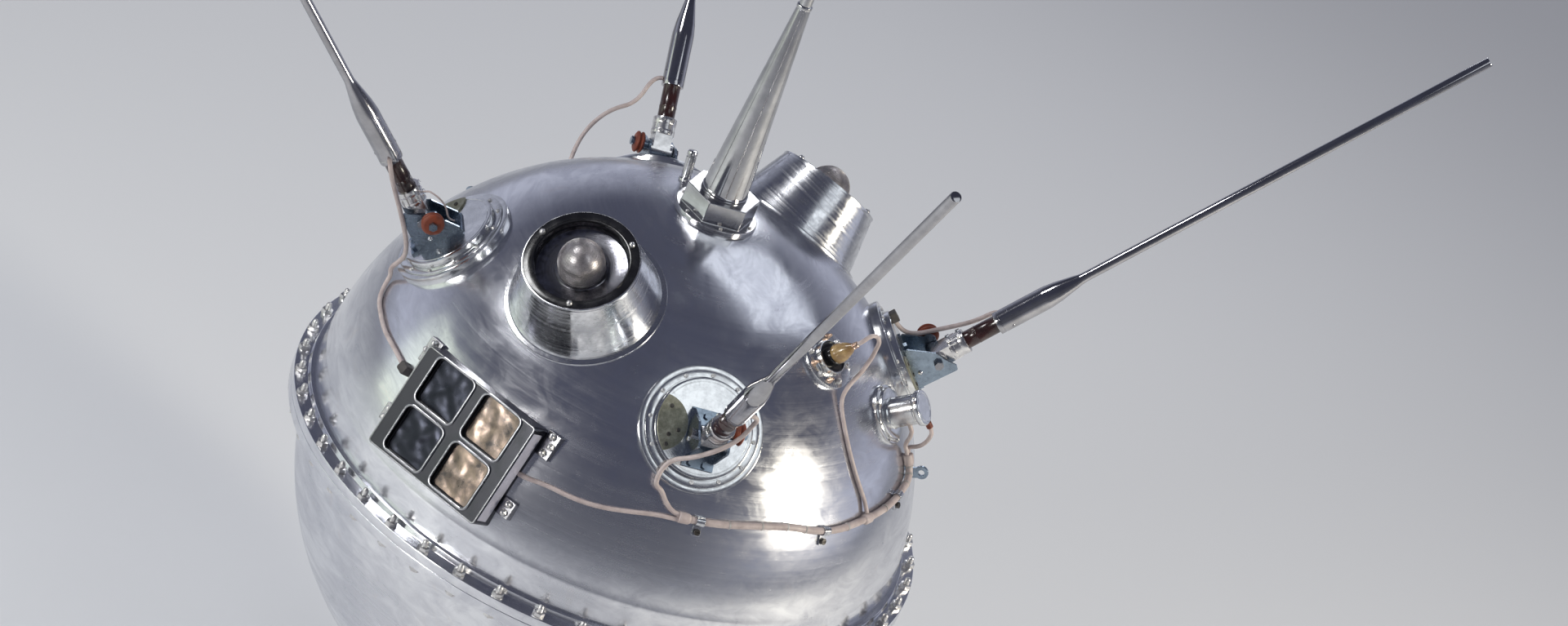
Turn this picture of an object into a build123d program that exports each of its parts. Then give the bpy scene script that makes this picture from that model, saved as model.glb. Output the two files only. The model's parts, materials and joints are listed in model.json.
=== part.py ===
"""Spherical lunar probe: two bolted half-shells, a magnetometer mast, four folding rod antennas, particle traps and impact detectors.

Millimetres. The origin is the centre of the sphere, +Z runs up the mast, and the four antennas stand on +X, +Y, -X and -Y.
Azimuth is measured from +X towards +Y and polar angle from +Z, both in degrees.
A rise is a height above the outside of the shell.
"""

import os
from math import cos, radians, sin, sqrt, tan

from build123d import *

os.makedirs("parts", exist_ok=True)

# pressure shell
shell_radius = 400.0
shell_wall = 3.0
flange_rise = 25.0
flange_thickness = 12.5
step_rise = 6.0
step_height = 8.5
ledge_width = 9.0
ledge_height = 5.0
flange_bolts = 48
flange_bolt_start = 5.0
flange_bolt_rise = 17.0
flange_bolt_radius = 4.0
flange_bolt_clearance = 0.25
flange_bolt_flats = 13.0
flange_head_height = 5.3
flange_nut_height = 6.5
flange_stud_reach = 5.5

# instrument block inside the shell
tray_thickness = 5.0
tray_clearance = 2.0
block_radius = 225.0
block_height = 330.0

# magnetometer mast
collar_flats = 84.0
collar_height = 31.0
collar_base_radius = 54.0
collar_base_height = 3.0
cone_base_radius = 29.5
cone_top_radius = 9.0
cone_height = 274.0
cone_wall = 1.5
tube_step = 1.0
tube_length = 560.0
tube_wall = 1.5
head_radius = 27.0
head_height = 130.0
head_rim = 6.0

# antennas: name, azimuth, lean of the deployed rod from the mast, splay of the rod along the tangent
antennas = [
    ("right", 0.0, 39.6, 0.3),
    ("back", 90.0, 40.8, 0.4),
    ("left", 180.0, 42.9, 3.1),
    ("front", 270.0, 37.1, -1.7),
]
boss_polar = 48.6
# boss tiers from the shell up: radius, rise
boss_tiers = [(79.0, 4.0), (72.0, 6.0), (62.0, 14.0)]
boss_screws = 12
boss_screw_circle = 67.0
boss_screw_radius = 2.5
boss_screw_height = 2.0

# antenna bracket, in the boss's frame: away from the mast, along the tangent, outward
pin_from_face = 37.0
pin_offset = 17.0
pin_radius = 4.0
pin_clearance = 0.05
cheek_thickness = 3.0
cheek_corner = 2.5
# corners of the cheek above the base plate: away from the mast, height above the boss
cheek_corners = [(-22.0, 3.0), (0.5, 39.0), (13.0, 45.5), (28.5, 58.0), (35.5, 57.0), (41.0, 9.0), (41.0, 3.0)]
lug_radius = 9.0
rivet_place = (19.5, 11.0)
rivet_radius = 2.5
rivet_height = 1.2
knuckle_width = 32.0
knuckle_side_clearance = 1.0
knuckle_round = 12.0
base_start = -22.0
base_end = 51.0
base_thickness = 3.0
# bolts through the base plate: away from the mast, along the tangent
base_bolts = [(45.5, 9.0), (45.5, -9.0), (-14.0, 0.0)]
base_bolt_flats = 8.0
base_bolt_height = 4.5
pin_nut_flats = 11.0
pin_nut_height = 6.0
spool_place = (3.0, 35.0)
spool_radius = 14.5
spool_width = 12.0
spool_neck_radius = 5.5
spool_neck_length = 7.0
spool_stud_radius = 3.0
spool_nut_flats = 10.0
spool_nut_height = 5.0

# lens-shaped cover plate on each boss: its edge follows the drum on one side and bulges towards the bracket on the other
cover_round = 60.0
cover_centre = (5.5, -56.0)
cover_radius = 35.0
cover_thickness = 2.5
cover_screws = [(10.8, -32.0), (18.5, -43.0), (31.0, -44.0), (-16.0, -46.0)]
cover_screw_radius = 2.6
cover_screw_height = 1.5

clamp_start = 21.0
clamp_end = 44.0
clamp_radius = 15.5
insulator_radius = 12.0
socket_depth = 14.0
ferrule_start = 89.0
ferrule_radius = 15.0
ferrule_straight = 76.0
ferrule_taper = 48.0
rod_radius = 6.5
rod_reach = 795.0
rod_tip_round = 2.0
socket_clearance = 0.05

# feed leads: points in each boss's frame (away from the mast, along the tangent, rise), then (azimuth, polar) points on the shell
lead_radius = 3.0
lead_gap = 0.3
lead_root = 8.0
lead_stub = 12.0
lead_seat = 0.8
lead_routes = {
    "back": ([(19, 41, 109), (20, 71, 92), (25, 91, 71), (34, 104, 47), (48, 109, 18), (58, 108, -8)], [(106.6, 58.8), (106.2, 61.5)]),
    "right": ([(4, 25, 112), (-2, 23.5, 80), (-6, 23.5, 58), (-9, 23.5, 41), (-15, 24, 27), (-26, 26, 19), (-36, 27.5, 17.6)], []),
    "left": ([(17, 27, 124), (24, 28, 100), (35, 28, 66), (46, 25, 38), (58, 18, 19), (72, 11, 11), (86, 7, 7), (92, 5, -4)], [(180.8, 63.0), (184.0, 65.4), (190.0, 65.9), (194.5, 66.3), (199.5, 66.2), (204.5, 66.6)]),
    "front": ([(5, 26, 119), (16, 24, 95), (32, 8, 78), (41, -8, 62), (46, -20, 43), (47, -29, 27), (52, -36, 18.5), (61, -41, 12.5), (72, -43, 7.5), (80, -41, 0)], [(-94.9, 60.6), (-93.6, 62.3)]),
}
gland_length = 15.0
gland_width = 13.0
gland_corner = 3.0
gland_height = 6.0
gland_depth = 20.0

# charged-particle traps: azimuth, polar angle
traps = [(224.9, 34.7), (45.7, 34.8), (135.0, 145.3), (315.0, 145.3)]
trap_rise = 67.0
trap_base_radius = 100.0
trap_rim_radius = 72.5
trap_rim_height = 4.0
trap_wall = 2.5
trap_foot_width = 7.0
trap_foot_height = 3.0
trap_foot_depth = 4.0
trap_ring_outer = 71.0
trap_ring_inner = 58.5
trap_ring_height = 3.0
trap_lip = 4.0
trap_cup_depth = 12.0
trap_cup_wall = 2.0
trap_dome_radius = 28.8
trap_dome_wall = 1.5
trap_screws = 3
trap_screw_circle = 64.0
trap_screw_radius = 4.0
trap_screw_edge = 1.5
trap_screw_turn = 31.4
trap_screw_clearance = 0.5

# impact detectors: azimuth, polar angle
detectors = [(224.6, 68.5), (44.6, 68.5)]
detector_rise = 20.0
detector_length = 182.0
detector_width = 141.0
detector_corner = 5.0
window = 60.0
window_corner = 7.0
window_floor = 9.0
window_shift = -2.0
rib_between_rows = 10.0
rib_between_columns = 18.5
rim_height = 1.5
rim_width = 2.5
plate_thickness = 2.0
plate_clearance = 0.5
foot_reach = 20.0
foot_thickness = 4.0
# feet at each end: place along the width, length, then the nuts as (place along the width, place from the body)
detector_foot_rows = [(-57.0, 34.0, [(-68.5, 10.0), (-57.0, 15.0), (-45.5, 10.0)]), (35.0, 23.0, [(29.2, 12.0), (40.8, 12.0)])]
foot_nut_radius = 4.6
foot_nut_height = 8.0

# feed-through ports: azimuth, polar angle, then the nuts as count, circle, radius, height
port_flange_radius = 39.0
port_flange_rise = 4.0
amber_place = (313.2, 34.7)
stepped_place = (332.6, 49.2)
port_nuts = [(amber_place, 6, 31.0, 4.0, 6.0), (stepped_place, 8, 36.0, 2.0, 2.6)]
amber_ring_radius = 22.0
amber_ring_height = 8.0
amber_base_radius = 12.5
amber_tip_radius = 3.5
amber_height = 36.0
amber_cap_height = 8.0
amber_cap_margin = 1.0
stepped_ring_radius = 33.0
stepped_ring_height = 5.0
stepped_body_radius = 19.5
stepped_body_height = 35.0
stepped_cap_radius = 23.0
stepped_cap_height = 8.0
cap_boot_radius = 4.2
cap_boot_length = 9.0
cap_boot_overlap = 1.0
cap_boot_turn = 15.0
body_outlet_rise = 26.0

# harness trunk: azimuth, polar angle, and what sits on the run that starts there
trunk_radius = 4.6
trunk_seat = 1.1
trunk_route = [
    (-88.5, 64.1, "clip"),
    (-83.5, 64.1, ""),
    (-76.5, 63.5, ""),
    (-69.5, 63.2, ""),
    (-65.0, 63.4, ""),
    (-60.5, 64.2, "clip"),
    (-54.1, 64.7, ""),
    (-48.0, 64.3, "sleeve"),
    (-41.0, 64.2, ""),
    (-34.4, 64.0, "clip"),
    (-28.0, 63.4, ""),
    (-24.6, 63.0, ""),
    (-22.9, 61.7, ""),
    (-22.9, 60.3, ""),
]
sleeve_radius = 7.0
sleeve_length = 14.0
sleeve_overlap = 2.0
sleeve_spread = 3.3
clip_width = 11.0
clip_thickness = 1.5
clip_tab = 14.0
clip_clearance = 0.15
clip_screw_radius = 4.0
clip_screw_height = 4.0
# branches: (azimuth, polar angle, rise) points between their two ends
branch_radius = 2.8
branch_outlet = -8.0
branch_stub = 7.0
detector_branch = [(-115.7, 67.3, 3.6), (-110.3, 67.4, 3.6), (-105.0, 66.9, 3.6), (-99.5, 65.8, 3.6), (-94.5, 64.8, 4.2)]
amber_branch = [(-44.6, 34.4, 67.0), (-41.6, 34.2, 69.0), (-38.7, 34.2, 65.0), (-36.9, 34.6, 57.0), (-36.4, 35.5, 46.0), (-38.0, 37.0, 32.0), (-41.8, 38.4, 21.0), (-46.0, 40.0, 11.5), (-48.2, 42.2, 4.2), (-48.8, 46.5, 3.6), (-48.6, 51.0, 3.6), (-47.6, 55.2, 3.6), (-46.0, 58.8, 3.6), (-44.7, 61.4, 3.8)]
cap_branch = [(-25.2, 54.6, 46.5), (-24.2, 55.7, 36.5), (-23.3, 56.4, 23.0), (-22.6, 57.0, 11.5)]
body_branch = [(-26.6, 53.3, 25.0), (-25.4, 54.7, 18.0), (-24.4, 55.8, 10.0), (-23.7, 56.8, 6.0)]
rear_branch = [(26.5, 67.0, 3.8), (22.0, 66.7, 3.6)]

# lifting eyes: azimuth, polar angle
eyes = [(342.5, 64.6), (128.0, 64.6)]
eye_hole_radius = 4.0
eye_outer_radius = 9.0
eye_thickness = 4.0
eye_rise = 13.0
eye_root = 5.0
eye_stem_width = 14.4
cut_depth = 40.0


def outward(azimuth, polar, height):
    """Plane on the outward direction at this distance from the centre: z out, x away from the mast, y along the tangent."""
    a, p = radians(azimuth), radians(polar)
    normal = Vector(sin(p) * cos(a), sin(p) * sin(a), cos(p))
    south = Vector(cos(p) * cos(a), cos(p) * sin(a), -sin(p))
    return Plane(origin=normal * height, x_dir=south, z_dir=normal)


def at(azimuth, polar, height, shape):
    return outward(azimuth, polar, height).location * shape


def on_shell(azimuth, polar, height):
    return outward(azimuth, polar, height).origin


def spun(points):
    """Solid of revolution about Z from a closed profile of (radius, height) points."""
    return revolve(Plane.XZ * make_face(Polyline(*points, close=True)), Axis.Z)


def hexagon(flats, height):
    return extrude(RegularPolygon(flats / 2, 6, major_radius=False), height)


def upright(radius, height, base=0.0):
    return Pos(0, 0, base + height / 2) * Cylinder(radius, height)


def seated(shape):
    """Cuts the underside of a piece to the outside of the shell."""
    return shape - Sphere(shell_radius)


def smooth_tube(points, radius):
    """Round tube through the points, with an arc at each bend."""
    pts = [Vector(*p) for p in points]
    legs = [(b - a).length for a, b in zip(pts, pts[1:])]
    radii = []
    for i in range(1, len(pts) - 1):
        u, v = (pts[i] - pts[i - 1]).normalized(), (pts[i + 1] - pts[i]).normalized()
        turn = radians(u.get_angle(v))
        radii.append(0.45 * min(legs[i - 1], legs[i]) / tan(turn / 2))
    path = FilletPolyline(*pts, radius=radii)
    print("cord radius", radius, "length", round(path.length), "tightest", round(min(radii), 1), "longest run", round(max(legs)))
    start = Plane(origin=pts[0], z_dir=(pts[1] - pts[0]).normalized())
    return sweep(start * Circle(radius), path=path)


def save(name, *shapes):
    solids = [s for shape in shapes for s in (shape.solids() if hasattr(shape, "solids") else [s for one in shape for s in one.solids()])]
    export_step(solids[0] if len(solids) == 1 else Compound(children=solids), f"parts/{name}.step")


# ---- half-shells ----
shell_inner = shell_radius - shell_wall
flange_radius = shell_radius + flange_rise
step_radius = shell_radius + step_rise
ledge_radius = shell_inner - ledge_width
bolt_circle = shell_radius + flange_bolt_rise


def upper_band(inner, outer, low, high):
    """Rectangle of a ring's section, above the joint plane."""
    return Pos((inner + outer) / 2, (low + high) / 2) * Rectangle(outer - inner, high - low)


quarter = upper_band(0, 2 * shell_radius, 0, 2 * shell_radius)
shell_profile = (Circle(shell_radius) - Circle(shell_inner)) & quarter
shell_profile += upper_band(shell_inner, flange_radius, 0, flange_thickness)
shell_profile += upper_band(shell_inner, step_radius, flange_thickness, flange_thickness + step_height)
ledge_profile = upper_band(ledge_radius, shell_inner + shell_wall / 2, flange_thickness, flange_thickness + ledge_height)
bolt_hole = Cylinder(flange_bolt_radius + flange_bolt_clearance, 4 * flange_thickness)
bolt_places = PolarLocations(bolt_circle, flange_bolts, start_angle=flange_bolt_start)
bolt_holes = [place * bolt_hole for place in bolt_places]
upper_shell = revolve(Plane.XZ * shell_profile, Axis.Z) - bolt_holes
lower_shell = mirror(revolve(Plane.XZ * (shell_profile + ledge_profile), Axis.Z), about=Plane.XY) - bolt_holes
save("upper_shell", upper_shell)
save("lower_shell", lower_shell)

stud_top = flange_thickness + flange_nut_height + flange_stud_reach
flange_bolt = (
    upright(flange_bolt_radius, stud_top + flange_thickness, -flange_thickness)
    + Pos(0, 0, stud_top) * Sphere(flange_bolt_radius)
    + Pos(0, 0, flange_thickness) * hexagon(flange_bolt_flats, flange_nut_height)
    + Pos(0, 0, -flange_thickness - flange_head_height) * hexagon(flange_bolt_flats, flange_head_height)
)
save("flange_bolts", [place * flange_bolt for place in bolt_places])

# ---- instrument block on its tray, which lies on the lower shell's ledge ----
tray_top = tray_thickness - flange_thickness
tray = upright(shell_inner - tray_clearance, tray_thickness, -flange_thickness)
block = upright(block_radius, block_height, tray_top - block_height / 2)
save("instrument_block", tray + block)

# ---- mast ----
collar_base_top = shell_radius + collar_base_height
mast_base = shell_radius + collar_height
collar_base = seated(upright(collar_base_radius, collar_base_top))
collar = Pos(0, 0, collar_base_top) * hexagon(collar_flats, mast_base - collar_base_top)
save("mast_collar", collar_base + collar)

cone_top = mast_base + cone_height
tube_radius = cone_top_radius - tube_step
tube_top = cone_top + tube_length
mast = spun(
    [
        (cone_base_radius - cone_wall, mast_base),
        (cone_base_radius, mast_base),
        (cone_top_radius, cone_top),
        (tube_radius, cone_top + tube_step),
        (tube_radius, tube_top),
        (tube_radius - tube_wall, tube_top),
        (tube_radius - tube_wall, cone_top),
    ]
)
save("mast_tube", mast)
head_top = tube_top + head_height
head = spun(
    [
        (0, tube_top),
        (head_radius - head_rim, tube_top),
        (head_radius, tube_top + head_rim),
        (head_radius, head_top - head_rim),
        (head_radius - head_rim, head_top),
        (0, head_top),
    ]
)
save("magnetometer_head", head)

# ---- posts beside the mast: azimuth, polar angle, radius, height of the straight part above the shell ----
posts = [(110.5, 12.2, 6.5, 34.0), (87.1, 13.3, 4.0, 30.0)]
save(
    "mast_posts",
    [
        seated(at(az, po, 0, upright(r, shell_radius + h) + Pos(0, 0, shell_radius + h) * Sphere(r)))
        for az, po, r, h in posts
    ],
)

# ---- antenna bosses, brackets and hinge pins, fixed to the upper shell ----
azimuths = [azimuth for _, azimuth, _, _ in antennas]
boss_top = shell_radius + boss_tiers[-1][1]
base_top = boss_top + base_thickness
pin_height = boss_top + pin_from_face
boss = upright(boss_tiers[0][0], shell_radius + boss_tiers[0][1])
for radius, rise in boss_tiers[1:]:
    boss += upright(radius, shell_radius + rise)
boss = seated(boss)
boss_screw = upright(boss_screw_radius, boss_screw_height, shell_radius + boss_tiers[1][1])


def across(s, height, shape):
    """Turns a shape on Z to lie along the tangent, at this place in the boss's frame."""
    return Pos(s, 0, height) * (Rot(-90, 0, 0) * shape)


spool_s, spool_height = spool_place[0], boss_top + spool_place[1]
cheek_inner = knuckle_width / 2 + knuckle_side_clearance
cheek_outer = cheek_inner + cheek_thickness
cheek_outline = make_face(Polyline(*[(s, boss_top + h) for s, h in cheek_corners], close=True))
cheek_outline = fillet(cheek_outline.vertices(), cheek_corner)
pin_hole = across(pin_offset, pin_height, Cylinder(pin_radius + pin_clearance, 4 * cheek_outer))
rivet = across(rivet_place[0], boss_top + rivet_place[1], upright(rivet_radius, rivet_height, cheek_outer))
bracket = Pos((base_start + base_end) / 2, 0, boss_top) * extrude(Rectangle(base_end - base_start, 2 * cheek_outer), base_thickness)
bracket += Pos(0, -cheek_inner, 0) * extrude(Plane.XZ * cheek_outline, cheek_thickness)
bracket += Pos(0, cheek_outer, 0) * extrude(Plane.XZ * (cheek_outline + Pos(spool_s, spool_height) * Circle(lug_radius)), cheek_thickness)
bracket = bracket - pin_hole + rivet + Rot(0, 0, 180) * Pos(-2 * rivet_place[0], 0, 0) * rivet
for s, t in base_bolts:
    bracket += Pos(s, t, base_top) * hexagon(base_bolt_flats, base_bolt_height)

pin_nut = hexagon(pin_nut_flats, pin_nut_height)
pin_half = cheek_outer + pin_nut_height
pin = across(pin_offset, pin_height, upright(pin_radius, 2 * pin_half, -pin_half) + Pos(0, 0, cheek_outer) * pin_nut + Pos(0, 0, -pin_half) * pin_nut)
spool_start = cheek_outer + spool_neck_length
spool_end = spool_start + spool_width
spool_stud = upright(spool_neck_radius, spool_neck_length, cheek_outer) + upright(spool_stud_radius, spool_width, spool_start) + Pos(0, 0, spool_end) * hexagon(spool_nut_flats, spool_nut_height)
spool = upright(spool_radius, spool_width, spool_start) - upright(spool_stud_radius + pin_clearance, spool_width, spool_start)
cover = Pos(*cover_centre) * Circle(cover_radius) & Circle(cover_round)
cover = Pos(0, 0, boss_top) * extrude(cover, cover_thickness)
cover_screw = upright(cover_screw_radius, cover_screw_height, boss_top + cover_thickness)
save("antenna_bosses", [at(az, boss_polar, 0, boss) for az in azimuths])
save("boss_screws", [at(az, boss_polar, 0, place * boss_screw) for az in azimuths for place in PolarLocations(boss_screw_circle, boss_screws)])
save("boss_covers", [at(az, boss_polar, 0, cover) for az in azimuths])
save("cover_screws", [at(az, boss_polar, 0, Pos(s, t, 0) * cover_screw) for az in azimuths for s, t in cover_screws])
save("antenna_brackets", [at(az, boss_polar, 0, bracket + across(spool_s, spool_height, spool_stud)) for az in azimuths])
save("hinge_pins", [at(az, boss_polar, 0, pin) for az in azimuths])
save("hinge_spools", [at(az, boss_polar, 0, across(spool_s, spool_height, spool)) for az in azimuths])

# ---- the four antennas ----
hinge_point = outward(0.0, boss_polar, 0.0).from_local_coords(Vector(pin_offset, 0, pin_height))
print("hinge at", round(hinge_point.X, 2), round(hinge_point.Z, 2))
insulator_start = clamp_end - socket_depth
insulator_end = ferrule_start + socket_depth
ferrule_end = ferrule_start + ferrule_straight + ferrule_taper
clamp_middle = (clamp_start + clamp_end) / 2
tongue = Rot(90, 0, 0) * Cylinder(knuckle_round, knuckle_width)
web = Pos(0, 0, clamp_middle / 2) * Box(2 * knuckle_round, 2 * knuckle_round, clamp_middle)
knuckle_base = tongue + web - Rot(90, 0, 0) * Cylinder(pin_radius + pin_clearance, knuckle_width)
clamp = upright(clamp_radius, clamp_end - clamp_start, clamp_start)
bore = upright(insulator_radius + socket_clearance, socket_depth, insulator_start)
insulator = upright(insulator_radius, insulator_end - insulator_start, insulator_start)
rod = spun(
    [
        (0, insulator_end),
        (insulator_radius + socket_clearance, insulator_end),
        (insulator_radius + socket_clearance, ferrule_start),
        (ferrule_radius, ferrule_start),
        (ferrule_radius, ferrule_start + ferrule_straight),
        (rod_radius, ferrule_end),
        (rod_radius, rod_reach - rod_tip_round),
        (rod_radius - rod_tip_round, rod_reach),
        (0, rod_reach),
    ]
)


def antenna_frame(azimuth, lean, splay):
    """Hinge frame with Z along the lean, and the frame of the rod, turned by its splay about the middle of the clamp."""
    stand = Rot(0, 0, azimuth) * Pos(hinge_point.X, 0, hinge_point.Z) * Rot(0, lean, 0)
    return stand, stand * Pos(0, 0, clamp_middle) * Rot(-splay, 0, 0) * Pos(0, 0, -clamp_middle)


for name, azimuth, lean, splay in antennas:
    stand, rod_stand = antenna_frame(azimuth, lean, splay)
    save(f"antenna_{name}_knuckle", stand * knuckle_base + rod_stand * clamp - rod_stand * bore)
    save(f"antenna_{name}_insulator", rod_stand * insulator)
    save(f"antenna_{name}_rod", rod_stand * rod)

# ---- harness trunk with its sleeves and clips ----
trunk_height = shell_radius + trunk_radius + trunk_seat
trunk_points = [on_shell(az, po, trunk_height) for az, po, _ in trunk_route]
trunk_start = (trunk_points[0] - trunk_points[1]).normalized()
trunk_end = (trunk_points[-1] - trunk_points[-2]).normalized()
sleeve = upright(sleeve_radius, sleeve_length, -sleeve_overlap)


def run_frame(first, last):
    """Plane at the middle of a run over the shell: x along the run, z away from the shell."""
    middle = (first + last) / 2
    return Plane(origin=middle, x_dir=last - first, z_dir=middle)


def sleeve_mouth(point, direction, aside):
    """Place just outside an end sleeve's face, this far to the side of its axis."""
    return point + direction * (sleeve_length - sleeve_overlap + lead_gap) + point.normalized().cross(direction) * aside


trunk = smooth_tube(trunk_points, trunk_radius)
for point, direction in ((trunk_points[0], trunk_start), (trunk_points[-1], trunk_end)):
    trunk += Plane(origin=point, z_dir=direction).location * sleeve
clips, clip_screws, joint_sleeves = [], [], []
for i, (_, _, held) in enumerate(trunk_route):
    if held == "":
        continue
    run = run_frame(trunk_points[i], trunk_points[i + 1])
    if held == "sleeve":
        trunk += run.location * (Rot(0, 90, 0) * Cylinder(sleeve_radius, sleeve_length))
        joint_sleeves.append(run)
    if held == "clip":
        band = Rot(0, 90, 0) * (Cylinder(trunk_radius + clip_thickness, clip_width) - Cylinder(trunk_radius + clip_clearance, clip_width))
        drop = shell_radius + clip_clearance + clip_thickness / 2 - run.origin.length
        tab = Pos(0, -(trunk_radius + clip_tab) / 2, drop) * Box(clip_width, trunk_radius + clip_tab, 2 * clip_thickness)
        tab -= Rot(0, 90, 0) * Cylinder(trunk_radius + clip_clearance, clip_width)
        clips.append(seated(run.location * (band + tab)))
        clip_screws.append(run.location * Pos(0, -trunk_radius - clip_tab + clip_screw_radius + 1, drop + clip_thickness) * upright(clip_screw_radius, clip_screw_height))
save("harness_trunk", seated(trunk))
save("harness_clips", clips)
save("clip_screws", clip_screws)

# ---- feed leads, from each ferrule over the hinge to the shell, a gland or the trunk ----
lead_height = shell_radius + lead_radius + lead_seat


def gland(end, before, floor):
    """Block into whose face a lead runs, seated on what carries it."""
    run = Plane(origin=end, x_dir=end - before, z_dir=end)
    block = extrude(Pos(lead_gap + gland_length / 2, 0) * RectangleRounded(gland_length, gland_width, gland_corner), gland_depth + gland_height)
    return run.location * Pos(0, 0, -gland_depth) * block - floor


glands = []
for name, azimuth, lean, splay in antennas:
    _, rod_stand = antenna_frame(azimuth, lean, splay)
    off_shell, shell_places = lead_routes[name]
    frame = outward(azimuth, boss_polar, 0)
    points = [(rod_stand * Pos(0, ferrule_radius + lead_gap + reach, ferrule_start + lead_root)).position for reach in (0, lead_stub)]
    points += [frame.from_local_coords(Vector(s, t, shell_radius + rise)) for s, t, rise in off_shell]
    points += [on_shell(az, po, lead_height) for az, po in shell_places]
    if name == "front":
        mouth = sleeve_mouth(trunk_points[0], trunk_start, -sleeve_spread)
        points += [mouth + trunk_start * sleeve_length / 2, mouth]
    elif name == "right":
        glands.append(gland(points[-1], points[-2], at(azimuth, boss_polar, 0, boss)))
    else:
        glands.append(gland(points[-1], points[-2], Sphere(shell_radius)))
    save(f"lead_{name}", smooth_tube(points, lead_radius))

# ---- particle traps ----
trap_rim = shell_radius + trap_rise
foot_plane = sqrt(shell_radius**2 - trap_base_radius**2)
foot_top = foot_plane + trap_foot_height
foot_bottom = foot_plane - trap_foot_depth
ring_seat = trap_rim - trap_ring_height
housing = spun(
    [
        (trap_base_radius - trap_foot_width - trap_wall, foot_bottom),
        (trap_base_radius, foot_bottom),
        (trap_base_radius, foot_top),
        (trap_base_radius - trap_foot_width, foot_top),
        (trap_rim_radius, trap_rim - trap_rim_height),
        (trap_rim_radius, trap_rim),
        (trap_ring_outer, trap_rim),
        (trap_ring_outer, ring_seat),
        (trap_ring_outer - trap_lip, ring_seat),
        (trap_ring_outer - trap_lip, ring_seat - trap_wall),
    ]
)
housing = seated(housing)
trap_ring = upright(trap_ring_outer - socket_clearance, trap_ring_height, ring_seat) - upright(trap_ring_inner, trap_ring_height, ring_seat)
cup_floor = ring_seat - trap_cup_depth
cup_edge = trap_ring_outer - trap_lip - 2 * trap_screw_clearance
cup = spun(
    [
        (0, cup_floor - trap_cup_wall),
        (trap_ring_inner, cup_floor - trap_cup_wall),
        (cup_edge - trap_lip, ring_seat - trap_cup_wall),
        (cup_edge, ring_seat - trap_cup_wall),
        (cup_edge, ring_seat),
        (trap_ring_inner + trap_cup_wall, ring_seat),
        (trap_ring_inner - trap_cup_wall, cup_floor),
        (0, cup_floor),
    ]
)


def domed(radius, base, spring):
    """Upright cylinder with a round top that springs at this height."""
    return upright(radius, spring - base, base) + (Pos(0, 0, spring) * Sphere(radius) - upright(2 * radius, 2 * radius, spring - 2 * radius))


dome = domed(trap_dome_radius, cup_floor, ring_seat) - domed(trap_dome_radius - trap_dome_wall, cup_floor, ring_seat)
trap_screw = domed(trap_screw_radius, trap_rim, trap_rim + trap_screw_edge)
trap_screw_places = PolarLocations(trap_screw_circle, trap_screws, start_angle=trap_screw_turn)
save("trap_housings", [at(az, po, 0, housing) for az, po in traps])
save("trap_rings", [at(az, po, 0, trap_ring) for az, po in traps])
save("trap_cups", [at(az, po, 0, cup) for az, po in traps])
save("trap_domes", [at(az, po, 0, dome) for az, po in traps])
save("trap_screws", [at(az, po, 0, place * trap_screw) for az, po in traps for place in trap_screw_places])

# ---- impact detectors ----
detector_face = shell_radius + detector_rise
row_pitch = window + rib_between_rows
column_pitch = window + rib_between_columns
stations = [(window_shift + i * row_pitch / 2, j * column_pitch / 2) for i in (-1, 1) for j in (-1, 1)]
body = extrude(RectangleRounded(detector_width, detector_length, detector_corner), detector_face)
pane = RectangleRounded(window, window, window_corner)
rim = extrude(RectangleRounded(window + 2 * rim_width, window + 2 * rim_width, window_corner + rim_width) - pane, rim_height)
for x, y in stations:
    body -= Pos(x, y, detector_face - window_floor) * extrude(pane, 2 * window_floor)
    body += Pos(x, y, detector_face) * rim
body = seated(body)
plate = extrude(RectangleRounded(window - 2 * plate_clearance, window - 2 * plate_clearance, window_corner - plate_clearance), plate_thickness)
plates = {sign: [Pos(x, y, detector_face - window_floor) * plate for x, y in stations if y * sign > 0] for sign in (-1, 1)}
save("detector_frames", [at(az, po, 0, body) for az, po in detectors])
save("detector_plates_dark", [at(az, po, 0, p) for az, po in detectors for p in plates[-1]])
save("detector_plates_copper", [at(az, po, 0, p) for az, po in detectors for p in plates[1]])
feet, foot_nuts = [], []
for az, po in detectors:
    for sign in (-1, 1):
        for place, length, nut_places in detector_foot_rows:
            y = sign * (detector_length / 2 + foot_reach / 2)
            top = sqrt(shell_radius**2 - (detector_length / 2) ** 2 - place**2) + foot_thickness
            foot = Pos(place, y, top - cut_depth / 2) * Box(length, foot_reach, cut_depth)
            feet.append(seated(at(az, po, 0, foot)))
            for x, from_body in nut_places:
                nut = domed(foot_nut_radius, top, top + foot_nut_height - foot_nut_radius)
                foot_nuts.append(at(az, po, 0, Pos(x, sign * (detector_length / 2 + from_body), 0) * nut))
save("detector_feet", feet)
save("detector_nuts", foot_nuts)

# ---- feed-through ports ----
port_flange_face = shell_radius + port_flange_rise
flange = upright(port_flange_radius, port_flange_face)
amber_seat = port_flange_face + amber_ring_height
amber_top = amber_seat + amber_height
amber_end = amber_top + amber_cap_height
save("amber_port", at(*amber_place, 0, seated(flange + upright(amber_ring_radius, amber_seat))))
amber_cone = spun([(0, amber_seat), (amber_base_radius, amber_seat), (amber_tip_radius, amber_top), (0, amber_top)])
save("amber_insulator", at(*amber_place, 0, amber_cone))
save("amber_terminal", at(*amber_place, 0, upright(amber_tip_radius + amber_cap_margin, amber_cap_height, amber_top)))
stepped_seat = port_flange_face + stepped_ring_height
cap_seat = stepped_seat + stepped_body_height
cap_middle = cap_seat + stepped_cap_height / 2
save("stepped_port", at(*stepped_place, 0, seated(flange + upright(stepped_ring_radius, stepped_seat) + upright(stepped_body_radius, cap_seat))))
save("stepped_port_cap", at(*stepped_place, 0, upright(stepped_cap_radius, stepped_cap_height, cap_seat)))
port_nut_list = []
for place, count, circle, radius, height in port_nuts:
    port_nut = domed(radius, port_flange_face, port_flange_face + height - radius)
    port_nut_list += [at(*place, 0, spot * port_nut) for spot in PolarLocations(circle, count)]
save("port_nuts", port_nut_list)

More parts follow.
